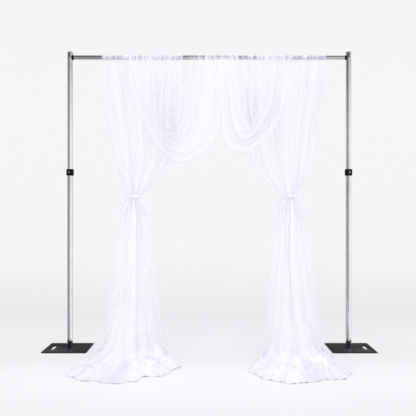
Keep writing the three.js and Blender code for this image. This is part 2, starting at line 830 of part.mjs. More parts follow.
// Assembly

for (const [side, inboard] of [['left', 1], ['right', -1]]) {
  const x = (-inboard * stand.span) / 2;
  piece(`${side}_base_plate`, basePlate(inboard), blackPowder, x);
  piece(`${side}_spigot`, spigotTube(), zinc, x, 0, plateTop);
  piece(`${side}_base_bolt`, baseBolt(), zinc, x, 0, fit);
  piece(`${side}_base_nut`, baseNut(), zinc, x, 0, nutBottom);
  piece(`${side}_lower_tube`, lowerTubeBody(), chrome, x);
  piece(`${side}_collar`, collarBody(), blackPlastic, x, 0, stand.collarHeight);
  piece(`${side}_collar_screw`, collarScrewBody(), zinc, x, 0, stand.collarHeight);
  piece(`${side}_release_lever`, releaseLever(), silver, x, 0, stand.collarHeight);
  piece(`${side}_lever_pin`, leverPin(), zinc, x, 0, stand.collarHeight);
  piece(`${side}_lever_spring`, leverSpring(), springSteel, x, 0, stand.collarHeight);
  piece(`${side}_upper_tube`, upperTubeBody(), chrome, x);
  piece(`${side}_tube_plug`, tubePlug(upperTube.radius, upperBore), nylon, x, 0, upperTubeBottom);
  piece(`${side}_top_cap`, topCap(), blackPlastic, x, 0, tubeTop);

  const bar = inboard > 0 ? outerBar : innerBar;
  const face = inboard > 0 ? endCap.outerFace : endCap.innerFace;
  const turn = inboard > 0 ? 0 : Math.PI;
  const rivetX = x + inboard * (barEnd.clear + rivet.fromEnd);
  piece(`${side}_end_cap`, endCapBody(bar, face), blackPlastic, x, 0, rodHeight).rotation.z = turn;
  piece(`${side}_hook`, hookBody(), zinc, x, 0, rodHeight).rotation.z = turn;
  piece(`${side}_hook_rivet`, hookRivet(bar), zinc, rivetX, 0, rodHeight);
}

piece('crossbar_outer_tube', barTube(outerBar, leftEnd, outerBar.end, leftEnd + rivet.fromEnd), chrome);
piece('crossbar_inner_tube', barTube(innerBar, innerBar.start, rightEnd, rightEnd - rivet.fromEnd), chrome);
piece('crossbar_bushing', barBushing(), blackPlastic);
piece(
  'crossbar_plug',
  alongX(tubePlug(innerBar.radius, innerBar.radius - innerBar.wall)),
  nylon, innerBar.start,
);

for (const drape of drapes) {
  piece(`${drape.side}_upper_panel`, upperPanel(drape), sheer);
  piece(`${drape.side}_skirt`, skirtPanel(drape), sheer);
  piece(`${drape.side}_swag`, swagPanel(drape), sheer);
  piece(`${drape.side}_sash`, sashRing(drape), sheer);
}

// The origin is the middle of the whole part's footprint, on the floor.
const extent = new THREE.Box3().setFromObject(backdrop);
const middle = extent.getCenter(new THREE.Vector3());
backdrop.position.set(-middle.x, -middle.y, -extent.min.z);

export default backdrop;
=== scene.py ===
"""Looks of the pipe and drape backdrop: polished telescoping frame and sheer gathered drapes.

Everything is in metres, in the CAD frame: X along the crossbar, -Y the front, Z up.
"""

import math

import bmesh
import bpy
import numpy as np
from mathutils import Matrix, Vector


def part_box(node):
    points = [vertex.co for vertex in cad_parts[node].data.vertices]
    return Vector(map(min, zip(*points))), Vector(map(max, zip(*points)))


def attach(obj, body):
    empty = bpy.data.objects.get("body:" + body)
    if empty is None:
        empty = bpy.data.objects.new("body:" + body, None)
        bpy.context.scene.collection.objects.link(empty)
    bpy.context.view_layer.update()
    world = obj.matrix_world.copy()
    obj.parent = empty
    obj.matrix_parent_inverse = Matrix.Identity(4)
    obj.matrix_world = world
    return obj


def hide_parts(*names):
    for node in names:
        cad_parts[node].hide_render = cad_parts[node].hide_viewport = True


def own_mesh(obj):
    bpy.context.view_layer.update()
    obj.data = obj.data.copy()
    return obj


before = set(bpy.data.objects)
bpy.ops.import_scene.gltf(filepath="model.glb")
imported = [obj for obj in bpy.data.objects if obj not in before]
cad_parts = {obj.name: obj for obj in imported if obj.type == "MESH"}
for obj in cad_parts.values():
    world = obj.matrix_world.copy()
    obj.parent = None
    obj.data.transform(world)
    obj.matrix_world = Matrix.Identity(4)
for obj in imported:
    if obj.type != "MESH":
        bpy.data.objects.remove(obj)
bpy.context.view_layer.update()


# Places taken from the CAD nodes

def centre_of(node):
    low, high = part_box(node)
    return (low + high) / 2


def radius_of(node):
    low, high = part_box(node)
    sizes = sorted(high - low)
    return (sizes[0] + sizes[1]) / 4


SIDES = {"left": 1, "right": -1}  # the sign points inboard
ROD = {"left": "crossbar_outer_tube", "right": "crossbar_inner_tube"}
ROD_BODY = {"left": "crossbar", "right": "crossbar_inner"}
UPRIGHT = {side: centre_of(f"{side}_upper_tube") for side in SIDES}
PLANE_Y = UPRIGHT["left"].y
ROD_Z = centre_of("crossbar_outer_tube").z
TIE_Z = (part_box("left_upper_panel")[0].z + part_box("left_skirt")[1].z) / 2


# Camera, matched to the photograph's frame of 416 by 416 pixels

FRAME_PIXELS = 416
FOCAL_PIXELS = 549
MIDDLE_PIXEL = 208
SENSOR_WIDTH = 36
CAMERA_X = -0.012
CAMERA_Z = 1.298
CAMERA_DISTANCE = 5.08
CAMERA_REACH = 60


def from_pixel(x, y, forward=0.0):
    """The point seen at a pixel of the photograph, that far in front of the uprights' plane."""
    depth = CAMERA_DISTANCE - forward
    return np.array([
        CAMERA_X + (x - MIDDLE_PIXEL) * depth / FOCAL_PIXELS,
        PLANE_Y - forward,
        CAMERA_Z + (MIDDLE_PIXEL - y) * depth / FOCAL_PIXELS,
    ])


def make_camera():
    data = bpy.data.cameras.new("camera")
    data.sensor_width = SENSOR_WIDTH
    data.lens = FOCAL_PIXELS / FRAME_PIXELS * data.sensor_width
    data.clip_end = CAMERA_REACH
    camera = bpy.data.objects.new("camera", data)
    camera.location = (CAMERA_X, PLANE_Y - CAMERA_DISTANCE, CAMERA_Z)
    camera.rotation_euler = (math.radians(90), 0, 0)
    bpy.context.scene.collection.objects.link(camera)
    bpy.context.scene.camera = camera


# Materials

class Nodes:
    """A small helper for the nodes of a material or of the world."""

    def __init__(self, tree):
        self.tree = tree

    def fill(self, node, inputs):
        """Sets inputs to plain values, or links them where the value is another node's output."""
        for key, value in inputs.items():
            if isinstance(value, bpy.types.NodeSocket):
                self.tree.links.new(value, node.inputs[key])
            else:
                node.inputs[key].default_value = value

    def add(self, kind, inputs=None, **settings):
        node = self.tree.nodes.new(kind)
        for key, value in settings.items():
            setattr(node, key, value)
        self.fill(node, inputs or {})
        return node

    def coordinates(self, output, scale=(1, 1, 1)):
        place = self.add("ShaderNodeTexCoord").outputs[output]
        return self.add("ShaderNodeMapping", {"Vector": place, "Scale": scale}).outputs["Vector"]

    def noise(self, vector, scale, detail, roughness=0.55):
        return self.add("ShaderNodeTexNoise", {
            "Vector": vector, "Scale": scale, "Detail": detail, "Roughness": roughness,
        }).outputs["Fac"]

    def span(self, value, low, high, from_low=0.0, from_high=1.0, curve="LINEAR"):
        return self.add("ShaderNodeMapRange", {
            "Value": value, "From Min": from_low, "From Max": from_high, "To Min": low, "To Max": high,
        }, interpolation_type=curve).outputs["Result"]

    def maths(self, operation, first, second=0.5, clamp=False):
        inputs = {0: first, 1: second}
        return self.add("ShaderNodeMath", inputs, operation=operation, use_clamp=clamp).outputs[0]

    def split(self, vector):
        return self.add("ShaderNodeSeparateXYZ", {0: vector}).outputs

    def stored(self, name):
        """A value stored with the mesh: hem is 1 on turned hems, and above 0 on gathers round the crossbar,
        where the colour is deeper, and on a train's rim, where it paints shade; dense above 0 where cloth
        looks thicker.
        """
        return self.add("ShaderNodeAttribute", attribute_name=name).outputs["Fac"]

    def ramp(self, value, stops):
        node = self.add("ShaderNodeValToRGB", {"Fac": value})
        elements = node.color_ramp.elements
        while len(elements) < len(stops):
            elements.new(0.5)
        for element, (place, colour) in zip(elements, stops):
            element.position = place
            element.color = (*colour, 1)
        return node.outputs["Color"]

    def bump(self, height, strength, distance):
        return self.add("ShaderNodeBump", {
            "Height": height, "Strength": strength, "Distance": distance,
        }).outputs["Normal"]


class Surface(Nodes):
    """A material of one principled shader."""

    def __init__(self, name, **inputs):
        self.material = bpy.data.materials.new(name)
        self.material.use_nodes = True
        super().__init__(self.material.node_tree)
        self.shade(**inputs)

    def shade(self, **inputs):
        """Sets or links the shader's inputs. An underscore stands for a space."""
        shader = self.tree.nodes["Principled BSDF"]
        self.fill(shader, {key.replace("_", " "): value for key, value in inputs.items()})


def grey(level, blue=0.01):
    return level, level, level + blue


def polished_metal(name, light, dark, rough_low, rough_high, stretch=(1, 1, 1)):
    """Plated metal with faint drawing lines along the tube, cloudy patches and fine rubs."""
    n = Surface(name, Metallic=1.0)
    cloud = n.noise(n.coordinates("Object"), scale=9, detail=4)
    lines = n.noise(n.coordinates("Object", stretch), scale=900, detail=2, roughness=0.7)
    mixed = n.maths("ADD", n.maths("MULTIPLY", cloud, 0.6), n.maths("MULTIPLY", lines, 0.4))
    n.shade(
        Base_Color=n.ramp(cloud, [(0.35, dark), (0.65, light)]),
        Roughness=n.span(mixed, rough_low, rough_high, from_low=0.3, from_high=0.7),
        Normal=n.bump(lines, strength=0.012, distance=0.0004),
    )
    return n.material


def coated(name, colour, worn, rough_low, rough_high, grain, bump, gloss):
    """A dark coat or moulding with fine grain, and paler rubbed patches."""
    n = Surface(name, Specular_IOR_Level=gloss)
    place = n.coordinates("Object")
    patch = n.noise(place, scale=22, detail=5, roughness=0.7)
    n.shade(
        Base_Color=n.ramp(patch, [(0.55, colour), (0.78, worn)]),
        Roughness=n.span(patch, rough_low, rough_high, from_low=0.35, from_high=0.75),
        Normal=n.bump(n.noise(place, scale=grain, detail=2), strength=bump, distance=0.0004),
    )
    return n.material


THREAD_PITCH = 0.0009
CLOTH_LIGHT = (0.955, 0.945, 0.998)
CLOTH_SHADE = (0.925, 0.91, 0.988)
CLOTH_HEM_AND_SHADE = (0.84, 0.82, 0.95)
SHEEN = (0.95, 0.94, 1.0, 1)
THINNEST, DENSEST = 0.08, 0.97


def sheer_cloth(name, opacity):
    """Sheer voile: fine threads, slubs along them, denser hems. Its UV map is in metres."""
    n = Surface(name, Sheen_Weight=0.2, Sheen_Roughness=0.45, Sheen_Tint=SHEEN, Specular_IOR_Level=0.2)
    place = n.split(n.add("ShaderNodeTexCoord").outputs["UV"])
    warp, weft = (n.maths("SINE", n.maths("MULTIPLY", place[axis], 2 * math.pi / THREAD_PITCH))
                  for axis in ("X", "Y"))
    weave = n.maths("ADD", warp, weft)
    slubs = n.noise(n.coordinates("UV", (150, 3, 1)), scale=1, detail=2, roughness=0.5)
    streaks = n.noise(n.coordinates("UV", (13, 0.8, 1)), scale=1, detail=3, roughness=0.5)
    density = opacity
    for part in (
        n.span(slubs, -0.02, 0.02, from_low=0.3, from_high=0.7),
        n.span(streaks, -0.07, 0.07, from_low=0.3, from_high=0.7),
        n.maths("MULTIPLY", weave, 0.02),
        n.maths("MULTIPLY", n.stored("hem"), 0.12),
        n.stored("dense"),
    ):
        density = n.maths("ADD", part, density)
    # The hem value deepens the colour on hems and on gathers round the crossbar, and paints shade on a
    # train's rim.
    shade = n.maths("SUBTRACT", streaks, n.maths("MULTIPLY", n.stored("hem"), 0.45))
    relief = n.maths("ADD", n.maths("MULTIPLY", weave, 0.15), slubs)
    n.shade(
        Alpha=n.maths("MINIMUM", n.maths("MAXIMUM", density, THINNEST), DENSEST),
        Base_Color=n.ramp(shade, [(0.0, CLOTH_HEM_AND_SHADE), (0.3, CLOTH_SHADE), (0.7, CLOTH_LIGHT)]),
        Roughness=n.span(slubs, 0.72, 0.88, from_low=0.3, from_high=0.7),
        Normal=n.bump(relief, strength=0.08, distance=0.0006),
    )
    return n.material


# Mesh makers

def mesh_of(name, points, faces):
    mesh = bpy.data.meshes.new(name)
    mesh.from_pydata(points.reshape(-1, 3).tolist(), [], faces)
    return mesh


def between(ids):
    """The faces between the rows and columns of a grid of point numbers."""
    return np.stack([ids[:-1, :-1], ids[1:, :-1], ids[1:, 1:], ids[:-1, 1:]], axis=-1).reshape(-1, 4).tolist()


def circle(sides):
    """The angles of that many points round a circle."""
    return np.linspace(0, 2 * math.pi, sides, endpoint=False)


def surface(x, y, z):
    """Points from their coordinates, each of them a number, a row or a grid."""
    return np.stack(np.broadcast_arrays(x, y, z), axis=-1)


def grid(columns, rows):
    """How far along and how far down each point of a sheet is, from 0 to 1."""
    return np.meshgrid(np.linspace(0, 1, columns), np.linspace(0, 1, rows))


def unit(vectors):
    return vectors / np.maximum(np.linalg.norm(vectors, axis=-1, keepdims=True), 1e-9)


def smoothed(mesh, sharp_angle):
    mesh.polygons.foreach_set("use_smooth", [True] * len(mesh.polygons))
    if sharp_angle is not None:
        mesh.set_sharp_from_angle(angle=math.radians(sharp_angle))


def place(name, mesh, material, sharp_angle=None):
    mesh.materials.append(material)
    smoothed(mesh, sharp_angle)
    piece = bpy.data.objects.new(name, mesh)
    bpy.context.scene.collection.objects.link(piece)
    return piece


def baked(piece):
    """The mesh of a curve, or of a piece with its modifiers."""
    return bpy.data.meshes.new_from_object(piece.evaluated_get(bpy.context.evaluated_depsgraph_get()))


def tidy(mesh):
    """Welds doubled points, drops empty faces and turns the faces outwards."""
    bm = bmesh.new()
    bm.from_mesh(mesh)
    bmesh.ops.remove_doubles(bm, verts=bm.verts, dist=1e-6)
    bmesh.ops.dissolve_degenerate(bm, edges=bm.edges, dist=1e-7)
    bmesh.ops.recalc_face_normals(bm, faces=bm.faces)
    bm.to_mesh(mesh)
    bm.free()
    return mesh


def lathe(name, profile, centre, material, axis="Z", sides=96):
    """A closed profile of [radius, height] points turned round an axis through centre."""
    radius, height = np.array(profile, float).T[..., None]
    points = surface(radius * np.cos(circle(sides)), radius * np.sin(circle(sides)), height)
    points = points[..., {"X": [2, 0, 1], "Y": [1, 2, 0], "Z": [0, 1, 2]}[axis]] + np.array(centre)
    count = len(profile)
    faces = []
    for i in range(count):
        following = (i + 1) % count
        if max(radius[i, 0], radius[following, 0]) < 1e-9:
            continue
        for j in range(sides):
            k = (j + 1) % sides
            faces.append((i * sides + j, i * sides + k, following * sides + k, following * sides + j))
    return place(name, tidy(mesh_of(name, points, faces)), material, 35)


def rounded(points, radius, steps):
    """A profile with its corners rounded. Each point is (radius, height) or (radius, height, sharp)."""
    result = []
    count = len(points)
    for i, point in enumerate(points):
        here = np.array(point[:2], float)
        if len(point) > 2:
            result.append(here)
            continue
        before = np.array(points[i - 1][:2], float) - here
        after = np.array(points[(i + 1) % count][:2], float) - here
        reach = min(radius, np.linalg.norm(before) / 2.2, np.linalg.norm(after) / 2.2)
        start = here + before / np.linalg.norm(before) * reach
        end = here + after / np.linalg.norm(after) * reach
        for t in np.linspace(0, 1, steps):
            result.append((1 - t) ** 2 * start + 2 * t * (1 - t) * here + t ** 2 * end)
    return result


def slab(name, outlines, thickness, edge, material, steps=3):
    """A plate in the XY plane from outlines of points, later ones being holes, with rounded edges."""
    curve = bpy.data.curves.new(name, "CURVE")
    curve.dimensions = "2D"
    curve.fill_mode = "BOTH"
    curve.extrude = thickness / 2 - edge
    curve.bevel_depth = edge
    curve.bevel_resolution = steps
    curve.offset = -edge
    for outline in outlines:
        spline = curve.splines.new("POLY")
        spline.points.add(len(outline) - 1)
        for point, (x, y) in zip(spline.points, outline):
            point.co = (x, y, 0, 1)
        spline.use_cyclic_u = True
    holder = bpy.data.objects.new(name, curve)
    bpy.context.scene.collection.objects.link(holder)
    mesh = baked(holder)
    bpy.data.objects.remove(holder)
    bpy.data.curves.remove(curve)
    mesh.materials.clear()
    return place(name, tidy(mesh), material, 40)


def rounded_rectangle(width, height, corner, x=0.0, steps=8):
    points = []
    for sx, sy, start in ((1, 1, 0), (-1, 1, 90), (-1, -1, 180), (1, -1, 270)):
        for t in np.linspace(start, start + 90, steps):
            a = math.radians(t)
            points.append((
                x + sx * (width / 2 - corner) + corner * math.cos(a),
                sy * (height / 2 - corner) + corner * math.sin(a),
            ))
    return points


def shifted(piece, *steps):
    """Moves a piece's mesh by matrices, one after the other."""
    for matrix in steps:
        piece.data.transform(matrix)
    return piece


def stood_up(y=0.0):
    """Turns what lies in the XY plane up into the XZ plane, its middle at y."""
    return Matrix.Translation((0, y, 0)) @ Matrix.Rotation(math.radians(90), 4, "X")


def facing(name, size, depth, edge, material, centre, forward, steps=3, corner_steps=8):
    """A slab that faces the front, its middle that far in front of centre."""
    piece = slab(name, [rounded_rectangle(*size, steps=corner_steps)], depth, edge, material, steps)
    return shifted(piece, stood_up(-forward), Matrix.Translation(centre))


def combined(piece, other, operation):
    """Joins or cuts a piece with another, which is used up."""
    modifier = piece.modifiers.new("boolean", "BOOLEAN")
    modifier.operation = operation
    modifier.object = other
    modifier.solver = "EXACT"
    mesh = baked(piece)
    old = piece.data
    piece.modifiers.clear()
    piece.data = mesh
    bpy.data.meshes.remove(old)
    bpy.data.objects.remove(other)
    smoothed(mesh, 35)
    return piece


def stands_for(piece, body, slot, *nodes):
    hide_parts(*nodes)
    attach(piece, body)
    return piece


# Hardware

MILLI = 0.001


def mm(*sizes):
    """Lengths given in millimetres."""
    return tuple(size * MILLI for size in sizes)


# CARRY_SLOT, HOOK_SLOT, HOUSING, POCKET and LEVER each give a width, a height and a corner.
OVERRUN = 0.01  # how far a cutter goes past what it cuts
CUTTER_EDGE, TUBE_EDGE, END_CAP_EDGE, BUSHING_EDGE = mm(0.1, 0.4, 1.2, 0.6)
PLATE_CORNER, PLATE_EDGE, CARRY_SLOT_INSET = mm(14, 1.2, 69)
CARRY_SLOT = mm(30, 125, 14.6)
BOLT_HOLE, BOLT_HEAD, BOLT_SINK = mm(6.3, 11, 5)
LOWER_TUBE, UPPER_TUBE = mm(25.4, 1.3), mm(23.8, 1.5)  # radius and wall
HOOK_SLOT = mm(10, 46, 4.2)
HOOK_SLOT_DOWN, HOOK_SLOT_REACH = mm(29, 80)
CAP_RADIUS, CAP_RIM, CAP_SEAT, CAP_PLUG, CAP_WALL = mm(24.8, 1.2, 0.3, 22, 2)
COLLAR_BORE, COLLAR_LIP_BORE, COLLAR_RADIUS = mm(25.7, 24.1, 35)
COLLAR_CHAMFER, COLLAR_SHOULDER, COLLAR_LIP, COLLAR_ROUNDING = mm(6, 8, 8, 4)
COLLAR_BAND, COLLAR_WAIST, COLLAR_WAIST_DEPTH = mm(14, 16, 1.2)
HOUSING, POCKET, LEVER = mm(34, 45, 7), mm(13, 24.5, 6.2), mm(12, 21, 5.95)
HOUSING_DEPTH, HOUSING_EDGE, HOUSING_FORWARD = mm(15, 2, 32)
POCKET_DEPTH, POCKET_FORWARD = mm(30, 38)
LEVER_DEPTH, LEVER_EDGE, LEVER_FORWARD = mm(4, 1.3, 38.5)
SPRING_WIRE = 0.35 * MILLI
SPRING_TURNS = 7
FLANGE = dict(zip(SIDES, mm(23.5, 20.8)))
FLANGE_LENGTH, CONE_LENGTH, STUB_LENGTH = mm(26.5, 36.7, 60)
CONE_STEP, BAR_WALL, STUB_GAP = mm(0.3, 1.5, 1.8)
COPE_RADIUS, COPE_REACH = mm(24.3, 50)
COPE_BACK = [mm(-30, -40), mm(21.5, -40), mm(21.5, 40), mm(-30, 40)]
RIVET_HEAD = [mm(0, 0), mm(2.4, 0.2), mm(3.9, 0.7), mm(4.5, 1.4), mm(2.5, 1.4)]
BUSHING_BORE, BUSHING_LIP_BORE, BUSHING_LIP = mm(19.3, 17.5, 4)


def pipe(name, material, body, node, radius, wall, low, high, centre, axis="Z"):
    profile = [(radius - wall, low), (radius, low), (radius, high), (radius - wall, high)]
    piece = lathe(name, rounded(profile, TUBE_EDGE, 4), centre, material, axis)
    return stands_for(piece, body, "chrome", node)


def make_hardware(materials):
    for side, inboard in SIDES.items():
        make_base(side, inboard, materials)
        make_upright(side, materials)
        make_collar(side, materials)
        make_bar_end(side, inboard, materials)
    make_crossbar(materials)
    for node, material in carried_over(materials).items():
        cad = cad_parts[node]
        cad.data.materials.clear()
        cad.data.materials.append(material)


def carried_over(materials):
    """The CAD nodes that stay in sight as they are, with their materials."""
    kept = {"crossbar_plug": materials["nylon"]}
    for side in SIDES:
        kept[f"{side}_tube_plug"] = materials["nylon"]
        for part in ("spigot", "base_nut", "base_bolt", "collar_screw", "lever_pin", "hook"):
            kept[f"{side}_{part}"] = materials["zinc"]
    return kept


def make_base(side, inboard, materials):
    low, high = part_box(f"{side}_base_plate")
    width, depth = high.x - low.x, high.y - low.y
    outline = rounded_rectangle(width, depth, PLATE_CORNER)
    slot = rounded_rectangle(*CARRY_SLOT, x=-inboard * (width / 2 - CARRY_SLOT_INSET))
    plate = slab(f"{side}_base_plate_steel", [outline, slot], high.z - low.z, PLATE_EDGE, materials["plate"])
    shifted(plate, Matrix.Translation((low + high) / 2))
    hole = lathe("hole", [
        (0, -OVERRUN), (BOLT_HEAD, -OVERRUN), (BOLT_HEAD, 0), (BOLT_HOLE, BOLT_SINK),
        (BOLT_HOLE, 2 * OVERRUN), (0, 2 * OVERRUN),
    ], (UPRIGHT[side].x, PLANE_Y, 0), materials["plate"], sides=48)
    combined(plate, hole, "DIFFERENCE")
    stands_for(plate, f"{side}_base", "black_powder", f"{side}_base_plate")


def make_upright(side, materials):
    here = (UPRIGHT[side].x, PLANE_Y, 0)
    chrome = materials["chrome"]
    low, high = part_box(f"{side}_lower_tube")
    pipe(f"{side}_lower_pipe", chrome, f"{side}_stand", f"{side}_lower_tube", *LOWER_TUBE,
         low.z, high.z, here)
    low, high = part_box(f"{side}_upper_tube")
    upper = pipe(f"{side}_upper_pipe", chrome, f"{side}_mast", f"{side}_upper_tube", *UPPER_TUBE,
                 low.z, high.z, here)
    for turn in (0, 90):
        cutter = slab("cutter", [rounded_rectangle(*HOOK_SLOT)], HOOK_SLOT_REACH, CUTTER_EDGE, chrome)
        shifted(cutter, stood_up(), Matrix.Rotation(math.radians(turn), 4, "Z"),
                Matrix.Translation((here[0], here[1], high.z - HOOK_SLOT_DOWN)))
        combined(upper, cutter, "DIFFERENCE")
    top_low, top_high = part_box(f"{side}_top_cap")
    rim = high.z + CAP_RIM
    profile = [(0, top_high.z)]
    for a in np.radians(np.linspace(8, 90, 10)):
        profile.append((CAP_RADIUS * math.sin(a), rim + (top_high.z - rim) * math.cos(a)))
    profile += [
        (CAP_RADIUS, high.z + CAP_SEAT), (CAP_PLUG, high.z + CAP_SEAT), (CAP_PLUG, top_low.z),
        (CAP_PLUG - CAP_WALL, top_low.z), (CAP_PLUG - CAP_WALL, high.z), (0, high.z),
    ]
    cap = lathe(f"{side}_cap", profile, here, materials["plastic"])
    stands_for(cap, f"{side}_mast", "black_plastic", f"{side}_top_cap")


def make_collar(side, materials):
    low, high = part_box(f"{side}_collar")
    half = (high.z - low.z) / 2
    here = (UPRIGHT[side].x, PLANE_Y, (low.z + high.z) / 2)
    plastic = materials["plastic"]
    waist = COLLAR_RADIUS - COLLAR_WAIST_DEPTH
    inner_lip = half - COLLAR_LIP
    outside = [
        (COLLAR_RADIUS - COLLAR_CHAMFER, half), (COLLAR_RADIUS, half - COLLAR_SHOULDER),
        (COLLAR_RADIUS, half - COLLAR_BAND), (waist, half - COLLAR_WAIST),
    ]
    profile = rounded([
        (COLLAR_BORE, -half), *((r, -h) for r, h in outside), *outside[::-1],
        (COLLAR_LIP_BORE, half), (COLLAR_LIP_BORE, inner_lip), (COLLAR_BORE, inner_lip),
    ], COLLAR_ROUNDING, 6)
    collar = lathe(f"{side}_collar_shell", profile, here, plastic)
    front = facing("front", HOUSING, HOUSING_DEPTH, HOUSING_EDGE, plastic, here, HOUSING_FORWARD, 4)
    clearance = lathe("clearance", [
        (0, -half - OVERRUN), (COLLAR_BORE, -half - OVERRUN), (COLLAR_BORE, inner_lip), (0, inner_lip),
    ], here, plastic)
    pocket = facing("pocket", POCKET, POCKET_DEPTH, CUTTER_EDGE, plastic, here, POCKET_FORWARD)
    combined(collar, front, "UNION")
    combined(collar, clearance, "DIFFERENCE")
    combined(collar, pocket, "DIFFERENCE")
    stands_for(collar, f"{side}_stand", "black_plastic", f"{side}_collar")

    lever = facing(f"{side}_lever", LEVER, LEVER_DEPTH, LEVER_EDGE, materials["silver"], here,
                   LEVER_FORWARD, 5, 14)
    stands_for(lever, f"{side}_lever", "silver", f"{side}_release_lever")
    make_spring(side, materials["spring"])


def make_spring(side, material):
    """The lever's coil spring, its two end turns closed."""
    low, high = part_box(f"{side}_lever_spring")
    coil = (high.x - low.x) / 2 - SPRING_WIRE
    length = high.y - low.y - 2 * SPRING_WIRE
    end_turn = 2.2 * SPRING_WIRE
    steps, sides = 224, 10
    along = np.linspace(0, SPRING_TURNS, steps)
    height = eased(along, [0, 1, SPRING_TURNS - 1, SPRING_TURNS], [0, end_turn, length - end_turn, length])
    angle = 2 * math.pi * along
    outwards = surface(np.cos(angle), 0, np.sin(angle))
    line = coil * outwards + surface(0, height, 0)
    points = np.stack([
        line + SPRING_WIRE * (math.cos(a) * outwards + math.sin(a) * np.array([0, 1, 0]))
        for a in circle(sides)
    ], axis=1) + np.array([(low.x + high.x) / 2, low.y + SPRING_WIRE, (low.z + high.z) / 2])
    ids = np.arange(steps * sides).reshape(steps, sides)
    faces = between(np.hstack([ids, ids[:, :1]])) + [ids[0].tolist(), ids[-1, ::-1].tolist()]
    piece = place(f"{side}_spring", tidy(mesh_of(f"{side}_spring", points, faces)), material, 50)
    stands_for(piece, f"{side}_stand", "spring_steel", f"{side}_lever_spring")
    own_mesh(piece)


def make_bar_end(side, inboard, materials):
    centre = (UPRIGHT[side].x, PLANE_Y, ROD_Z)
    plastic = materials["plastic"]
    bar = radius_of(ROD[side])
    stub = bar - STUB_GAP
    profile = rounded([
        (0, 0, 1), (FLANGE[side], 0), (FLANGE[side], FLANGE_LENGTH), (bar + CONE_STEP, CONE_LENGTH),
        (stub, CONE_LENGTH), (stub, STUB_LENGTH), (0, STUB_LENGTH, 1),
    ], END_CAP_EDGE, 4)
    cap = lathe(f"{side}_bar_cap", [(r, inboard * h) for r, h in profile], centre, plastic, "X", 64)
    upright = lathe("upright", [
        (0, -COPE_REACH), (COPE_RADIUS, -COPE_REACH), (COPE_RADIUS, COPE_REACH), (0, COPE_REACH),
    ], centre, plastic)
    combined(cap, upright, "DIFFERENCE")
    back = slab("back", [COPE_BACK], 2 * COPE_REACH, CUTTER_EDGE, plastic)
    shifted(back, Matrix.Diagonal((inboard, 1, 1, 1)), Matrix.Translation(centre))
    back.data = tidy(back.data)
    combined(cap, back, "DIFFERENCE")
    stands_for(cap, ROD_BODY[side], "black_plastic", f"{side}_end_cap")

    low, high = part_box(f"{side}_hook_rivet")
    reach = (high.y - low.y) / 2
    profile = [(r, h - reach) for r, h in RIVET_HEAD]
    profile += [(r, -h) for r, h in reversed(profile)]
    pin = lathe(f"{side}_rivet", profile, (low + high) / 2, materials["zinc"], "Y", 32)
    stands_for(pin, ROD_BODY[side], "zinc", f"{side}_hook_rivet")


def make_crossbar(materials):
    centre = (0, PLANE_Y, ROD_Z)
    for side, node in ROD.items():
        low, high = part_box(node)
        pipe(node.replace("tube", "pipe"), materials[f"{side}_bar"], ROD_BODY[side], node,
             radius_of(node), BAR_WALL, low.x, high.x, centre, "X")
    low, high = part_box("crossbar_bushing")
    outside = radius_of("crossbar_bushing")
    profile = rounded([
        (BUSHING_BORE, low.x), (outside, low.x), (outside, high.x), (BUSHING_LIP_BORE, high.x),
        (BUSHING_LIP_BORE, high.x - BUSHING_LIP), (BUSHING_BORE, high.x - BUSHING_LIP),
    ], BUSHING_EDGE, 4)
    ring = lathe("crossbar_ring", profile, centre, materials["plastic"], "X", 64)
    stands_for(ring, "crossbar", "black_plastic", "crossbar_bushing")


# Cloth: curves, folds and noise

def through(points, count):
    """A smooth curve through points, of that many points evenly spaced in the curve's own parameter."""
    points = np.asarray(points, float)
    padded = np.concatenate([2 * points[:1] - points[1:2], points, 2 * points[-1:] - points[-2:-1]])
    gaps = np.maximum(np.linalg.norm(np.diff(padded, axis=0), axis=-1), 1e-6) ** 0.5
    knots = np.concatenate([[0], np.cumsum(gaps.reshape(len(gaps), -1).mean(axis=1))])
    places = np.linspace(knots[1], knots[-2], count)
    spans = np.clip(np.searchsorted(knots, places, side="right") - 1, 1, len(points) - 1)
    result = []
    for at, i in zip(places, spans):
        near, k = padded[i - 1:i + 3], knots[i - 1:i + 3]
        for first, reach in ((0, 1), (0, 2), (1, 1)):
            near = [((k[j + reach] - at) * p + (at - k[j]) * q) / (k[j + reach] - k[j])
                    for j, (p, q) in enumerate(zip(near, near[1:]), first)]
        result.append(near[0])
    return np.array(result)


def eased(x, xs, ys):
    """A smooth curve through (xs, ys) that doesn't overshoot."""
    xs, ys = np.asarray(xs, float), np.asarray(ys, float)
    h, d = np.diff(xs), np.diff(ys) / np.diff(xs)
    slope = np.zeros_like(ys)
    same = d[:-1] * d[1:] > 0
    slope[1:-1][same] = 2 * d[:-1][same] * d[1:][same] / (d[:-1][same] + d[1:][same])
    slope[0], slope[-1] = d[0], d[-1]
    x = np.clip(x, xs[0], xs[-1])
    i = np.clip(np.searchsorted(xs, x, side="right") - 1, 0, len(h) - 1)
    t = (x - xs[i]) / h[i]
    return ((1 + 2 * t) * (1 - t) ** 2 * ys[i] + t * (1 - t) ** 2 * h[i] * slope[i]
            + t * t * (3 - 2 * t) * ys[i + 1] + t * t * (t - 1) * h[i] * slope[i + 1])


def wander(u, v, across, down, seed):
    """Smooth noise from -1 to 1 over u and v, with that many cells each way."""
    values = np.random.RandomState(seed).uniform(-1, 1, (across + 2, down + 2))
    x, y = np.clip(u, 0, 1) * across, np.clip(v, 0, 1) * down
    i, j = np.floor(x).astype(int), np.floor(y).astype(int)
    fx, fy = x - i, y - j
    fx, fy = fx * fx * (3 - 2 * fx), fy * fy * (3 - 2 * fy)
    return ((values[i, j] * (1 - fx) + values[i + 1, j] * fx) * (1 - fy)
            + (values[i, j + 1] * (1 - fx) + values[i + 1, j + 1] * fx) * fy)


def fold_phase(s, count, jitter, seed):
    """The phase of that many folds across s from 0 to 1, of uneven widths."""
    widths = np.random.RandomState(seed).uniform(1 - jitter, 1 + jitter, count)
    edges = np.concatenate([[0], np.cumsum(widths)]) / widths.sum()
    return 2 * math.pi * eased(s, edges, np.arange(count + 1))


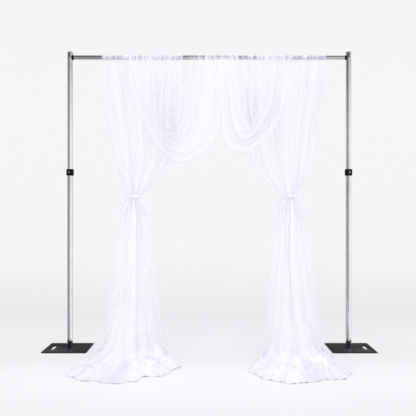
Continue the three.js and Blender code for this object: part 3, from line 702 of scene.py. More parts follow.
def pushed(base, heights, sideways):
    """The base surface moved along its normals by heights, and along its rows by sideways."""
    across = np.gradient(base, axis=1)
    normal = unit(np.cross(across, np.gradient(base, axis=0)))
    return base + normal * heights[..., None] + unit(across) * sideways[..., None]


def round_rod(x, radius, turn, rows):
    """Rows of cloth round the crossbar, between two turns from its top in degrees."""
    angle = np.radians(np.linspace(*turn, rows))[:, None]
    return surface(x, PLANE_Y + radius * np.sin(angle), ROD_Z + radius * np.cos(angle))


def cloth(name, points, flat, material, dense, tint=0.0, hem_rows=(), hem_width=0.012):
    """A single sheet from rows of points. flat is its cut width and length, which its UV map is in.

    dense says how much thicker the cloth looks, tint where it is deeper in colour, as a hem is, and where
    shade is painted on, as on a train's rim.
    """
    rows, columns = points.shape[:2]
    mesh = mesh_of(name, points, between(np.arange(rows * columns).reshape(rows, columns)))
    s, t = grid(columns, rows)
    uv = np.stack([s * flat[0], t * flat[1]], axis=-1).reshape(-1, 2)
    corners = np.empty(len(mesh.loops), np.int32)
    mesh.loops.foreach_get("vertex_index", corners)
    mesh.uv_layers.new(name="cloth").data.foreach_set("uv", uv[corners].ravel().astype(np.float32))
    edge = np.minimum(s, 1 - s) * flat[0]
    hem = (edge < hem_width).astype(float)
    for at_row in hem_rows:
        hem = np.maximum(hem, 0.5 * (np.abs(t - at_row) * flat[1] < hem_width * 2))
    for stored, values in (("hem", np.maximum(hem, tint)), ("dense", dense)):
        layer = mesh.attributes.new(stored, "FLOAT", "POINT")
        layer.data.foreach_set("value", values.ravel().astype(np.float32))
    return place(name, mesh, material)


def pleats(s, t, count, seed, jitter, roam, cells):
    """The phase of that many pleats over the cloth. They wander a little on their way down."""
    return fold_phase(s, count, jitter, seed) + roam * wander(s, t, *cells, seed + 1)


def smooth_step(x, low, high):
    t = np.clip((x - low) / (high - low), 0, 1)
    return t * t * (3 - 2 * t)


def off_sides(s, high, low=0):
    """0 at both ends of s, rising to 1 that far in."""
    return smooth_step(np.minimum(s, 1 - s), low, high)


# Drapes. Places along the crossbar are from the middle between the uprights. Outlines are in pixels of
# the photograph, from the outer side to the inner one. A swag's third number is how far it stands forward.
# Edge tables run from the rod to the tie.

DRAPES = {
    "left": {
        "outward": -1, "outer": -0.993, "inner": -0.243, "tie": -0.690, "seed": 10, "fold_seed": 21,
        "swag_flat": (0.80, 1.75),
        "outer_edge": (
            [0, 0.1, 0.25, 0.458, 0.668, 0.8, 0.874, 0.94, 0.986, 1],
            [0, 0.035, 0.12, 0.3, 0.506, 0.645, 0.74, 0.86, 0.98, 1],
        ),
        "inner_edge": (
            [0, 0.25, 0.5, 0.7, 0.75, 0.833, 0.915, 0.96, 0.99, 1],
            [0, 0.03, 0.1, 0.21, 0.27, 0.45, 0.66, 0.8, 0.93, 1],
        ),
        "swag_outer": [
            (127.4, 58, 0.022), (129.5, 83, 0.05), (138, 110, 0.08), (151, 135, 0.11),
            (166, 155.5, 0.14), (182, 162, 0.15), (196, 157.5, 0.145), (209.5, 146.5, 0.125),
            (218, 131, 0.09), (220.5, 118, 0.065), (219.3, 93, 0.04), (216, 58, 0.022),
        ],
        "swag_inner": [
            (172.5, 58, 0.022), (168, 72, 0.045), (163, 88, 0.06), (160.5, 103, 0.075),
            (162.5, 120, 0.085), (172, 132.5, 0.09), (178, 128, 0.09), (182.5, 118, 0.085),
            (186, 106, 0.075), (189.5, 92, 0.06), (193, 75, 0.045), (196.5, 58, 0.022),
        ],
        "swag_core": [
            (183.5, 58), (182.2, 71), (180.6, 84), (179, 98), (177.4, 112), (176.5, 123), (178, 123),
            (180.6, 113), (183, 101), (185, 88), (186.8, 73), (188.3, 58),
        ],
        "hem": [
            (99, 355), (88, 360.5), (76, 366), (65.5, 373.2), (68, 377), (80, 380), (96, 382),
            (113.8, 383.5), (130, 382), (138, 381.5), (143, 377.5), (155, 376.3), (166, 375.6),
            (171, 370.6), (181, 365.6), (175, 359), (167, 352),
        ],
    },
    "right": {
        "outward": 1, "outer": 1.070, "inner": 0.290, "tie": 0.750, "seed": 40, "fold_seed": 40,
        "swag_flat": (0.80, 1.50),
        "outer_edge": (
            [0, 0.1, 0.25, 0.441, 0.73, 0.892, 0.978, 1],
            [0, 0.02, 0.09, 0.243, 0.49, 0.736, 0.98, 1],
        ),
        "inner_edge": (
            [0, 0.25, 0.5, 0.69, 0.822, 0.906, 0.96, 0.99, 1],
            [0, 0.03, 0.11, 0.226, 0.42, 0.645, 0.8, 0.93, 1],
        ),
        "swag_outer": [
            (215.7, 58, 0.022), (218.5, 88, 0.075), (221.5, 119, 0.105), (224.5, 138, 0.13),
            (230.5, 148, 0.145), (239.5, 152, 0.15), (249, 151.5, 0.15), (258, 146.5, 0.145),
            (268, 138.5, 0.13), (279.3, 121.4, 0.1), (286, 98, 0.065), (290.5, 58, 0.022),
        ],
        "swag_inner": [
            (239.5, 58, 0.022), (240, 70, 0.045), (241, 84, 0.06), (242.8, 100, 0.07),
            (245.5, 114, 0.08), (250.5, 124, 0.085), (254, 119, 0.085), (256.5, 110, 0.08),
            (258, 100, 0.07), (259.5, 88, 0.06), (261, 74, 0.045), (263, 58, 0.022),
        ],
        "swag_core": [
            (246, 58), (247, 70), (248, 83), (249, 96), (250, 108), (251, 116), (252.5, 114),
            (254, 104), (255, 93), (256, 82), (257, 70), (258, 58),
        ],
        "hem": [
            (316.5, 354), (327.5, 358.5), (339, 363.8), (352, 371), (350, 377), (338.8, 380),
            (322.5, 381), (307, 383.4), (291, 384.6), (282.5, 382.5), (272.5, 380.6), (260, 376.9),
            (248.5, 371.9), (256, 363.8), (263, 354),
        ],
    },
}
TIE_HALF = 0.05
TIE_DEPTH = 0.0055
TIE_FORWARD = 0.040
TIE_GAP = 0.0004  # from the tie's middle to the panel's lower edge and the skirt's upper one
FOLDS = 6
FOLD_JITTER = 0.45
FINE_PLEATS = 27
FOLD_OVERLAP = 0.25  # how far a fold's side leans over its neighbour, as a share of the folds' pitch
TIE_OVERLAP = 0.04  # more of it in the tie, where the folds are pressed together
CLOTH_GAP = 0.0011

PANEL_FLAT = (1.22, 1.46)
PANEL_TIED_FROM = 0.66  # from here down the panel is drawn into the tie
PANEL_HANG_FROM = 0.16  # from here down its folds have their full depth
PANEL_BROAD, PANEL_FOLD_SHARE, PANEL_FOLD_LIMIT = 0.016, 0.30, 0.020  # share of the pitch, and depth at most
PANEL_FINE, PANEL_PINCHED = 0.0007, 0.002
POCKET_TURN = (188, -172)  # the rod pocket's way round the crossbar, in degrees
POCKET_DENSE, PANEL_TIE_DENSE = 0.20, 0.30
POCKET_RIPPLE, PANEL_TOP_WAVE, PANEL_STRAY = 0.0007, 0.003, 0.016
BUNCHES = [(24, 0.30), (61, 0.28), (110, 0.12)]  # how dense gathers look along the crossbar


def tie_depth(s):
    """How far the folds reach in the tie, before and behind its middle."""
    return np.sqrt(np.maximum(0, 1 - (1 - 2 * s) ** 2)) * 0.85 * TIE_DEPTH


def pitch_of(base, count):
    """The folds' pitch at each point of a sheet that has that many folds across it."""
    return np.linalg.norm(np.gradient(base, axis=1), axis=2) * (base.shape[1] - 1) / count


def layered(s, layers, seed):
    """Noise along s, from layers of so many cells and such a size."""
    return sum(size * wander(s, 0 * s, cells, 1, seed + i) for i, (cells, size) in enumerate(layers))


def panel_cloth(side, material):
    drape = DRAPES[side]
    seed = drape["seed"]
    rod = radius_of(ROD[side]) + CLOTH_GAP
    top = ROD_Z - rod
    columns, rows, header = 340, 100, 18
    s, t = grid(columns, rows)
    outer_tie = drape["tie"] + drape["outward"] * TIE_HALF
    inner_tie = drape["tie"] - drape["outward"] * TIE_HALF
    outer = drape["outer"] + (outer_tie - drape["outer"]) * eased(t, *drape["outer_edge"])
    inner = drape["inner"] + (inner_tie - drape["inner"]) * eased(t, *drape["inner_edge"])
    tied = np.clip((t - PANEL_TIED_FROM) / (1 - PANEL_TIED_FROM), 0, 1) ** 1.6
    spread = s + PANEL_STRAY * wander(s, t, 6, 3, seed + 1) * np.sin(math.pi * s) * (1 - tied)
    hang = np.clip(t / PANEL_HANG_FROM, 0, 1)
    broad = pleats(s, t, 4, seed + 2, jitter=0.3, roam=0.9, cells=(4, 3))
    phase = fold_phase(s, FOLDS, FOLD_JITTER, seed) + 1.2 * wander(s, t, 4, 3, seed + 4) * (1 - tied)
    fine = pleats(s, t, FINE_PLEATS, seed + 6, jitter=0.4, roam=1.6, cells=(7, 3))
    strength = 0.85 + 0.4 * wander(s, t, 7, 2, seed + 8)
    smooth = surface(outer + (inner - outer) * spread, 0, top * (1 - t) + TIE_Z * t)
    pitch = pitch_of(smooth, FOLDS)
    by_rod = np.exp(-t / 0.06)
    depth = np.minimum(PANEL_FOLD_SHARE * pitch, PANEL_FOLD_LIMIT)
    free = (PANEL_BROAD * hang ** 1.2 * np.sin(broad) + depth * hang * np.sin(phase) * strength
            + (PANEL_FINE + PANEL_PINCHED * by_rod) * np.sin(fine))
    even = strength * (1 - tied) + tied
    overlap = (FOLD_OVERLAP + TIE_OVERLAP * tied) * (hang + (1 - hang) * 0.2)
    lean = -overlap * pitch * np.sin(2 * phase) * even
    x = smooth[..., 0] + lean * np.sign(inner - outer)
    y = -TIE_FORWARD * t + free * (1 - tied) + tie_depth(s) * np.sin(phase) * tied
    ease = smooth_step(t, 0, 0.05)
    y = (1 - ease) * PANEL_TOP_WAVE * np.sin(fine) + ease * y
    hanging = surface(x, PLANE_Y + y, top + (TIE_Z + TIE_GAP - top) * t)

    # The rod pocket goes round the crossbar and closes on the panel's top edge.
    radius = rod + POCKET_RIPPLE * np.sin(fold_phase(s[:1], 90, 0.5, seed + 9)) + 0.0003
    points = np.concatenate([round_rod(x[:1], radius, POCKET_TURN, header), hanging[1:]])
    pocket = np.repeat(layered(s[:1], BUNCHES, seed + 10) + POCKET_DENSE, header, axis=0)
    dense = np.concatenate([pocket, 0 * t[1:]])
    dense[header:] += PANEL_TIE_DENSE * smooth_step(t[1:], 0.8, 1.0)
    tint = np.concatenate([np.full((header, columns), 1.0), 0 * t[1:]])
    piece = cloth(f"{side}_panel_cloth", points, PANEL_FLAT, material, dense, tint)
    stands_for(piece, f"{side}_drapes", "sheer", f"{side}_upper_panel")


SPREAD = ([0, 0.012, 0.035, 0.079, 0.18, 0.342, 0.596, 0.83, 0.96, 1],
          [0, 0.01, 0.08, 0.196, 0.312, 0.472, 0.688, 0.81, 0.92, 1])
SKIRT_FLAT = (1.22, 2.00)
SKIRT_HALF = 0.300
FALLS = (0, 0.012, 0.035, 0.079, 0.18, 0.342, 0.5, 0.62, 0.74)
KNEE_BACK, KNEE_BULGE = 0.205, 0.13
# How the skirt turns into its train: the share of the way out to the hem, and the height there.
SWEEP = [(0.07, 0.26), (0.16, 0.15), (0.28, 0.07), (0.42, 0.028), (0.60, 0.013), (0.80, 0.006), (1.0, 0.002)]
SKIRT_BROAD, SKIRT_FOLD_SHARE, SKIRT_FOLD_LIMIT, SKIRT_FINE = 0.014, 0.15, 0.011, 0.0008
# Heights of what lies on the floor, and how far it is shifted sideways.
BROAD_ROLLS, ROLLS, LUMPS, RIDGES = 0.022, 0.012, 0.014, 0.024
CREASES, HEM_CREASES, RUFFLES, DRIFT = 0.006, 0.022, 0.0035, 0.016
FLOOR_GAP = 0.0015
RAGGED = [(21, 0.016), (47, 0.013)]  # how far the hem strays from its outline
# How much denser the skirt looks: in the middle, at its sides, under the tie, on the floor and half way down.
SKIRT_DENSE, SIDES_DENSE, TIED_DENSE, FLOOR_DENSE, HALFWAY_DENSE = 0.36, -0.13, 0.12, 0.2, -0.16


def on_floor(x, y):
    """The point of the floor seen at a pixel of the photograph."""
    depth = CAMERA_Z * FOCAL_PIXELS / (y - MIDDLE_PIXEL)
    return from_pixel(x, y, CAMERA_DISTANCE - depth)


def skirt_base(drape, seed, columns, rows):
    """The smooth surface that the skirt's folds stand on, as one curve down each column."""
    s = np.linspace(0, 1, columns)
    side_share = 1 - 2 * s
    top = TIE_Z - TIE_GAP
    front = PLANE_Y - TIE_FORWARD
    knee_y = PLANE_Y - KNEE_BACK - KNEE_BULGE * (1 - side_share ** 2)
    stations = []
    for fall in FALLS:
        half = TIE_HALF + (SKIRT_HALF - TIE_HALF) * eased(fall, *SPREAD)
        stations.append(surface(drape["tie"] + drape["outward"] * side_share * half,
                                front + (knee_y - front) * fall ** 1.6, top * (1 - fall)))
    hem = through([on_floor(x, y) for x, y in drape["hem"]], columns)
    outwards = unit(hem[:, :2] - np.array([drape["tie"], PLANE_Y - KNEE_BACK - 0.1]))
    hem[:, :2] += outwards * (layered(s, RAGGED, seed) * off_sides(s, 0.1))[:, None]
    knee = stations[-1].copy()
    knee[:, 1] = knee_y
    for share, height in SWEEP:
        point = knee * (1 - share) + hem * share
        point[:, 2] = height
        stations.append(point)
    return through(stations, rows)


def lying_height(s, past, broad, phase, strength, ridges, creases, seed):
    """The height of cloth on the floor: soft rolls, small crumples and a ruffled hem.

    past goes from 0, where the cloth comes down, to 1 at the hem.
    """
    rolls = (BROAD_ROLLS * (1 + np.sin(broad + 2.8 * wander(s, past, 4, 4, seed + 20)))
             + ROLLS * (1 + np.sin(phase + 2.6 * wander(s, past, 7, 5, seed + 21))) * strength)
    lumps = LUMPS * np.maximum(0, wander(s, past, 8, 6, seed + 22)) + RIDGES * ridges
    crumple = (CREASES + HEM_CREASES * smooth_step(past, 0.35, 0.7)) * creases * off_sides(s, 0.14)
    ruffle = smooth_step(past, 0.75, 1.0) * RUFFLES * (1 + np.sin(fold_phase(s, FINE_PLEATS, 0.6, seed + 11)))
    edge = 1 - 0.93 * smooth_step(past, 0.90, 1.0)
    return (rolls * (1 - 0.55 * past) + lumps * (1 - 0.3 * past) + crumple) * edge + ruffle


def skirt_cloth(side, material):
    drape = DRAPES[side]
    seed = 100 + drape["seed"]
    columns = 340
    base = skirt_base(drape, seed, columns, rows=170)
    length = np.concatenate([[0], np.cumsum(np.linalg.norm(np.diff(base, axis=0), axis=2).mean(axis=1))])
    s, t = np.meshgrid(np.linspace(0, 1, columns), length / length[-1])
    grounded = 1 - smooth_step(base[..., 2], 0.01, 0.14)

    loose = smooth_step(t, 0.004, 0.10)
    broad = pleats(s, t, 4, seed + 2, jitter=0.35, roam=1.1, cells=(4, 4))
    phase = (fold_phase(s, FOLDS, FOLD_JITTER, drape["seed"]) * (1 - loose)
             + fold_phase(s, FOLDS, FOLD_JITTER, drape["fold_seed"]) * loose)
    phase += 1.2 * wander(s, t, 4, 3, seed + 4) * loose
    pitch = pitch_of(base, FOLDS)
    fine = pleats(s, t, FINE_PLEATS, seed + 6, jitter=0.4, roam=1.6, cells=(7, 4))
    strength = 0.85 + 0.4 * wander(s, t, 8, 3, seed + 8)
    wide = 0.1 + 0.9 * smooth_step(t, 0.02, 0.5)
    depth = np.minimum(SKIRT_FOLD_SHARE * pitch, SKIRT_FOLD_LIMIT)
    folds = loose * (wide * SKIRT_BROAD * np.sin(broad) + depth * np.sin(phase) * strength
                     + SKIRT_FINE * np.sin(fine))
    tight = (1 - loose) * tie_depth(s) * np.sin(phase)
    past = smooth_step(t, 0.60, 1.0)
    ridges = np.abs(wander(s, past, 24, 4, seed + 27))
    creases = np.abs(wander(s, past, 29, 11, seed + 24))
    lying = lying_height(s, past, broad, phase, strength, ridges, creases, seed) * grounded
    heights = folds * (1 - grounded)
    drift = DRIFT * wander(s, past, 13, 7, seed + 25) * grounded * (1 - smooth_step(past, 0.85, 1.0))
    even = strength * loose + 1 - loose
    overlap = (FOLD_OVERLAP * 1.15 + TIE_OVERLAP * (1 - loose)) * (1 - 0.95 * grounded)
    lean = (drift - overlap * pitch * np.sin(2 * phase) * even) * off_sides(s, 0.06)
    points = pushed(base, heights * SIDES[side], lean)
    points[..., 1] += tight
    points[..., 2] += lying - 0.004 * grounded
    points[..., 2] = np.maximum(points[..., 2], FLOOR_GAP + 0.0006 * np.abs(wander(s, t, 40, 40, seed + 26)))
    dense = (SIDES_DENSE + SKIRT_DENSE * off_sides(s, 0.30, 0.02)
             + TIED_DENSE * (1 - smooth_step(t, 0.02, 0.14)) + FLOOR_DENSE * grounded
             + HALFWAY_DENSE * smooth_step(t, 0.22, 0.50) * (1 - grounded))
    specks = np.abs(wander(s, past, 61, 15, seed + 28))
    # The rim value paints shade on the train near its hem: the deeper hem colour, laid along its ridges and
    # crumples and in random specks. Part of it is the deeper tint of bunched cloth.
    rim = smooth_step(past, 0.2, 0.8) * (0.25 + 0.9 * (0.6 * ridges + 0.5 * creases) + 0.5 * specks)
    piece = cloth(f"{side}_skirt_cloth", points, SKIRT_FLAT, material, dense, rim, hem_rows=(1.0,))
    stands_for(piece, f"{side}_drapes", "sheer", f"{side}_skirt")
    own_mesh(piece)


SWAG_FOLDS = 6
CORE_STARTS = 0.75  # from here on the swag's cloth is its thin inner part
CORE_FORWARD = 0.036
SWAG_BROAD, SWAG_FOLD_SHARE, SWAG_FOLD_LIMIT = 0.014, 0.34, 0.018
SADDLE_GAP, SADDLE_RIPPLE = 0.003, 0.0006
SWAG_SIDE_DENSE, SADDLE_DENSE, CORE_DENSE = -0.24, 0.02, -0.7
SADDLE_TURN = (112, -90)  # a saddle's way over the crossbar, in degrees


def swag_cloth(side, material):
    drape = DRAPES[side]
    seed = 200 + drape["seed"]
    saddle = radius_of("crossbar_outer_tube") + SADDLE_GAP
    columns, belly_rows, saddle_rows = 230, 130, 9
    outer, inner = (np.array([from_pixel(*point) for point in drape[f"swag_{edge}"]])
                    for edge in ("outer", "inner"))
    core = np.array([from_pixel(*point, CORE_FORWARD) for point in drape["swag_core"]])
    for curve in (outer, inner, core):
        curve[[0, -1], 1] = PLANE_Y - saddle
        curve[[0, -1], 2] = ROD_Z
    u = np.linspace(0, 1, columns)
    first = np.clip(u / CORE_STARTS, 0, 1)[None, :, None]
    second = np.clip((u - CORE_STARTS) / (1 - CORE_STARTS), 0, 1)[None, :, None]
    base = through((outer[:, None] * (1 - first) + inner[:, None] * first) * (1 - second)
                   + core[:, None] * second, belly_rows)
    s, v = grid(columns, belly_rows)
    hang = np.sin(math.pi * v) ** 0.6
    broad = pleats(s, v, 3, seed, jitter=0.25, roam=0.6, cells=(3, 3))
    phase = pleats(s, v, SWAG_FOLDS, seed + 2, jitter=0.4, roam=0.9, cells=(4, 3))
    pitch = pitch_of(base, SWAG_FOLDS)
    strength = 0.9 + 0.3 * wander(s, v, 6, 3, seed + 6)
    depth = np.minimum(SWAG_FOLD_SHARE * pitch, SWAG_FOLD_LIMIT)
    heights = hang * (SWAG_BROAD * np.sin(broad) + depth * np.sin(phase) * strength)
    heights *= 1 - 0.5 * second[..., 0]
    lean = -FOLD_OVERLAP * pitch * hang * np.sin(2 * phase) * strength
    points = pushed(base, -heights, lean)

    radius = saddle + SADDLE_RIPPLE * np.sin(fold_phase(u[None], 60, 0.5, seed + 6))
    first_end, last_end = (round_rod(base[end, :, 0], radius, SADDLE_TURN, saddle_rows) for end in (0, -1))
    bunch = layered(u[None], BUNCHES, seed + 8) * 1.2 + SADDLE_DENSE + CORE_DENSE * second[..., 0] ** 0.3
    by_rod = 1 - off_sides(v, 0.022, 0.010)
    dense = SWAG_SIDE_DENSE * smooth_step(s, 0.40, 0.80) * (1 - by_rod) + bunch * by_rod
    bunch = np.repeat(bunch, saddle_rows - 1, axis=0)
    dense = np.concatenate([bunch, dense, bunch])
    by_rod = np.concatenate([0 * bunch + 1, by_rod, 0 * bunch + 1])
    points = np.concatenate([first_end[:-1], points, last_end[-2::-1]])
    piece = cloth(f"{side}_swag_cloth", points, drape["swag_flat"], material, dense, by_rod)
    stands_for(piece, f"{side}_drapes", "sheer", f"{side}_swag")


BAND_FLAT = (0.28, 0.034)
BAND_HEIGHT, BAND_GAP, BAND_BULGE = 0.032, 0.003, 0.003
BAND_DENSE, RIBBON_DENSE = 0.52, -0.02
BAND_CREASE, BAND_WAVE, RIBBON_RIPPLE = 0.0014, 0.003, 0.002
KNOT_BACK = 0.010
RIBBON_WIDTH, RIBBON_STEPS = 0.055, 64
KNOT_HALF, RIBBON_SPREAD = 0.008, 0.026  # half a ribbon's width at the knot, and what it gains further on
BACKWARDS = np.array([0, 1.0, 0])
LOOP_FACING, TAIL_FACING = 0.55, 0.75  # the share by which a ribbon's face is turned to the front


def sash(side, material):
    """The band round the tie, with its bow and tails behind."""
    drape = DRAPES[side]
    seed = 300 + drape["seed"]
    centre = np.array([drape["tie"], PLANE_Y - TIE_FORWARD, TIE_Z])
    sash_band(side, material, seed, centre)
    knot = centre + np.array([0, TIE_DEPTH + KNOT_BACK, 0])
    for index, (name, path) in enumerate(SASH_PATHS.items()):
        line = through(np.array(path) * np.array([drape["outward"], 1, 1]) + knot, RIBBON_STEPS)
        sash_ribbon(side, name, material, line, seed + 5 + index)


def sash_band(side, material, seed, centre):
    around, up = grid(columns=121, rows=13)
    angle = 2 * math.pi * around
    band = np.sin(math.pi * up) ** 0.5
    crease = BAND_CREASE * np.sin(2 * math.pi * 3.5 * up + 1.5 * wander(around, up, 9, 2, seed))
    points = centre + surface(
        (TIE_HALF + BAND_GAP + BAND_BULGE * band + crease) * np.sin(angle),
        (TIE_DEPTH + BAND_GAP + BAND_BULGE * band + crease) * np.cos(angle),
        (up - 0.5) * BAND_HEIGHT + BAND_WAVE * wander(around, up, 7, 1, seed + 1),
    )
    piece = cloth(f"{side}_sash_band", points, BAND_FLAT, material, 0 * up + BAND_DENSE, hem_width=0)
    stands_for(piece, f"{side}_drapes", "sheer", f"{side}_sash")


def sash_ribbon(side, name, material, line, seed):
    """A loop of the bow or a tail, along a line of points."""
    loop = "loop" in name
    w, v = np.meshgrid(np.linspace(-1, 1, 27), np.linspace(0, 1, len(line)))
    half = KNOT_HALF + RIBBON_SPREAD * (np.sin(math.pi * v) ** 0.7 if loop else v ** 0.6)
    tangent = unit(np.gradient(line, axis=0))
    level = unit(np.cross(tangent, BACKWARDS))
    facing = LOOP_FACING if loop else TAIL_FACING
    spread = unit(level[:, None] * facing + BACKWARDS * (1 - facing))
    phase = w * 7 + 4 * wander(v, (w + 1) / 2, 4, 2, seed)
    ripple = RIBBON_RIPPLE * np.sin(phase) * (0.2 + 0.8 * v)
    lift = np.cross(spread, tangent[:, None])
    points = line[:, None] + spread * (half * w)[..., None] + lift * ripple[..., None]
    flat = (RIBBON_WIDTH, float(np.linalg.norm(np.diff(line, axis=0), axis=1).sum()))
    ribbon = cloth(f"{side}_sash_{name}", points, flat, material, 0 * v + RIBBON_DENSE, hem_width=0)
    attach(ribbon, f"{side}_drapes")


# From the knot, with the first number pointing outwards.
SASH_PATHS = {
    "loop_out": [(0, 0, 0), (0.05, 0.012, 0.006), (0.10, 0.022, -0.03), (0.135, 0.02, -0.10),
                 (0.142, 0.012, -0.17), (0.118, 0.006, -0.205), (0.085, 0.004, -0.15),
                 (0.05, 0.003, -0.07), (0.012, 0.002, -0.008)],
    "loop_in": [(0, 0.004, 0), (-0.045, 0.014, 0.004), (-0.088, 0.022, -0.03), (-0.115, 0.02, -0.09),
                (-0.118, 0.012, -0.15), (-0.098, 0.008, -0.175), (-0.07, 0.006, -0.12),
                (-0.04, 0.006, -0.06), (-0.012, 0.006, -0.008)],
    "tail_out": [(0.004, 0.008, -0.004), (0.03, 0.018, -0.06), (0.06, 0.018, -0.14), (0.075, 0.024, -0.24)],
    "tail_in": [(-0.004, 0.010, -0.004), (-0.02, 0.022, -0.06), (-0.048, 0.02, -0.14),
                (-0.06, 0.028, -0.225)],
}


# Floor, lights and world

# Painted shade along the floor, from the front to the back: the paint's colour is darker at the front, by the
# drapes and in a band behind them, and paler far off.
FLOOR_PAINTED_SHADE = [
    (0.0, 0.80), (0.012, 0.812), (0.024, 0.813), (0.04, 0.842), (0.058, 0.87), (0.076, 0.876), (0.10, 0.838),
    (0.12, 0.838), (0.152, 0.861), (0.228, 0.828), (0.34, 0.892), (0.40, 0.925), (0.6, 0.965), (0.9, 0.985),
]
FLOOR_FRONT, FLOOR_BACK = -1.5, 13.5
FLOOR_RADIUS, FLOOR_SIDES = 30, 96
FADE_FROM, FADE_TO = 4.5, 28  # how far out the floor starts to fade, and where it has gone
GLOW, GLOW_STRENGTH = (0.97, 0.972, 0.985, 1), 0.06

# The wall that the camera sees, by the height of the line of sight.
WALL_LOW, WALL_HIGH = -0.3, 0.5
WALL = [
    (0.0, (0.865, 0.868, 0.882)), (0.19, (0.885, 0.888, 0.902)), (0.24, (0.903, 0.906, 0.92)),
    (0.31, (0.909, 0.912, 0.925)), (0.42, (0.912, 0.915, 0.928)), (0.6, (0.915, 0.917, 0.93)),
    (1.0, (0.905, 0.908, 0.92)),
]
# What polished metal mirrors: the pale surroundings, and a dimmer room above and behind the camera.
AROUND = [
    (0.0, grey(0.56)), (0.14, grey(0.56)), (0.21, grey(0.48)), (0.30, grey(0.31, 0.005)),
    (0.40, grey(0.29, 0.005)), (0.47, grey(0.42, 0.005)), (0.53, grey(0.80, 0.005)),
    (0.60, grey(1, 0)), (0.74, grey(1, 0)), (0.82, grey(0.80)), (0.90, grey(0.52)), (1.0, grey(0.56)),
]
OVERHEAD = [(0.12, grey(1, 0)), (0.45, grey(0.5, 0)), (0.8, grey(0.3, 0)), (1.0, grey(0.5, 0))]
DAYLIGHT, DAYLIGHT_STRENGTH = (0.985, 0.99, 1.0, 1), 0.94


def make_floor():
    n = Surface("floor_paint_and_shade", Roughness=0.6, Emission_Color=GLOW)
    where = n.add("ShaderNodeNewGeometry").outputs["Position"]
    along = n.span(n.split(where)["Y"], 0.0, 1.0, FLOOR_FRONT, FLOOR_BACK)
    rays = n.add("ShaderNodeLightPath").outputs
    length = n.add("ShaderNodeVectorMath", {0: where}, operation="LENGTH").outputs["Value"]
    fade = n.span(n.maths("DIVIDE", 1.0, length), 0.0, 1.0, 1 / FADE_TO, 1 / FADE_FROM, "SMOOTHSTEP")
    n.shade(
        Base_Color=n.ramp(along, [(at, (level, level + 0.003, level + 0.014)) for at, level in FLOOR_PAINTED_SHADE]),
        Emission_Strength=n.span(rays["Is Camera Ray"], 0.0, GLOW_STRENGTH),
        # Polished metal mirrors the room instead, down to its foot, as on a narrow sheet of paper.
        Alpha=n.maths("SUBTRACT", fade, rays["Is Glossy Ray"], clamp=True),
    )
    angles = circle(FLOOR_SIDES)
    ring = surface(FLOOR_RADIUS * np.cos(angles), FLOOR_RADIUS * np.sin(angles), 0)
    piece = place("floor", mesh_of("floor", ring, [tuple(range(FLOOR_SIDES))]), n.material)


def make_world():
    world = bpy.data.worlds.new("studio")
    bpy.context.scene.world = world
    world.use_nodes = True
    world.node_tree.nodes.clear()
    n = Nodes(world.node_tree)
    way = n.split(n.add("ShaderNodeTexCoord").outputs["Generated"])
    rays = n.add("ShaderNodeLightPath").outputs

    def background(colour, strength=1.0):
        return n.add("ShaderNodeBackground", {"Color": colour, "Strength": strength}).outputs[0]

    def mix(factor, first, second):
        return n.add("ShaderNodeMixShader", {0: factor, 1: first, 2: second}).outputs[0]

    wall = background(n.ramp(n.span(way["Z"], 0.0, 1.0, WALL_LOW, WALL_HIGH), WALL))
    turn = n.maths("ARCTAN2", way["X"], n.maths("MULTIPLY", way["Y"], -1.0))
    around = n.ramp(n.span(turn, 0.0, 1.0, -math.pi, math.pi), AROUND)
    overhead = n.ramp(n.span(way["Z"], 0.0, 1.0), OVERHEAD)
    mirrored = background(n.add("ShaderNodeMix", {
        "Factor": 1.0, "A": around, "B": overhead,
    }, data_type="RGBA", blend_type="MULTIPLY").outputs["Result"])
    shader = mix(rays["Is Glossy Ray"], background(DAYLIGHT, DAYLIGHT_STRENGTH), mirrored)
    shader = mix(rays["Is Camera Ray"], shader, wall)
    n.add("ShaderNodeOutputWorld", {"Surface": shader})


# Each lamp's place, what it faces, its width and height, power in watts and spread in degrees. The first two
# are measured from the uprights' plane.
LAMPS = {
    "key": ((-3.2, -3.6, 3.6), (0, 0, 1.3), (1.6, 2.4), 9, 180),
    "fill": ((3.6, -3.0, 2.6), (0, 0, 1.2), (1.4, 2.6), 6, 180),
    "low": ((0.25, -4.2, 0.7), (0, 0, 0.6), (5.6, 0.9), 8.5, 90),
    "top": ((0.0, -0.6, 4.6), (0, -0.4, 0), (3.0, 2.0), 24, 180),
}


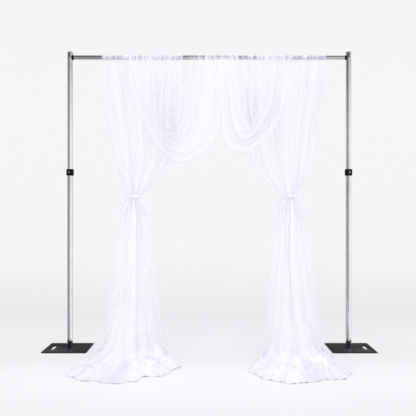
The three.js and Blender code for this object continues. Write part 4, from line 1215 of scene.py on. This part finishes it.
def make_lamps():
    for name, (location, target, size, power, spread) in LAMPS.items():
        data = bpy.data.lights.new(name, "AREA")
        data.shape = "RECTANGLE"
        data.size, data.size_y = size
        data.energy = power
        data.spread = math.radians(spread)
        lamp = bpy.data.objects.new(name, data)
        lamp.location = Vector(location) + Vector((0, PLANE_Y, 0))
        lamp.visible_glossy = False
        lamp.rotation_euler = (Vector(target) - Vector(location)).to_track_quat("-Z", "Y").to_euler()
        bpy.context.scene.collection.objects.link(lamp)


def make_materials():
    """Metals: light and dark shade, then the least and the most roughness. Coats: shade, worn shade,
    least and most roughness, grain per metre, bump and gloss."""
    return {
        "chrome": polished_metal("chrome_tube", grey(0.90), grey(0.82), 0.06, 0.14, (1, 1, 0.04)),
        # The crossbar's two chromes are darker copies of the uprights' chrome: painted shade on the bar,
        # darkest on its right, inner tube.
        "left_bar": polished_metal("chrome_bar", grey(0.76), grey(0.67), 0.12, 0.22, (0.04, 1, 1)),
        "right_bar": polished_metal("chrome_bar_end", grey(0.57), grey(0.49), 0.12, 0.22, (0.04, 1, 1)),
        "zinc": polished_metal("zinc_plate", (0.62, 0.63, 0.64), (0.50, 0.51, 0.53), 0.28, 0.45),
        "silver": polished_metal("silver_plate", grey(0.50), grey(0.40), 0.26, 0.38),
        "spring": polished_metal("spring_steel", grey(0.45), grey(0.35), 0.25, 0.4),
        "plate": coated("powder_coat", (0.008, 0.011, 0.013), (0.016, 0.02, 0.023),
                        0.14, 0.30, 700, 0.12, 0.02),
        "plastic": coated("black_moulding", grey(0.006, 0.001), grey(0.012, 0.001),
                          0.24, 0.4, 1500, 0.08, 0.08),
        "nylon": coated("nylon", (0.72, 0.71, 0.67), (0.64, 0.62, 0.57), 0.45, 0.6, 900, 0.1, 0.5),
        "sheer": sheer_cloth("sheer_voile", 0.42),
    }


def main():
    make_camera()
    make_floor()
    make_world()
    make_lamps()
    bpy.context.scene.view_settings.view_transform = "Standard"
    materials = make_materials()
    make_hardware(materials)
    for side in SIDES:
        sash(side, materials["sheer"])
        panel_cloth(side, materials["sheer"])
        skirt_cloth(side, materials["sheer"])
        swag_cloth(side, materials["sheer"])


main()
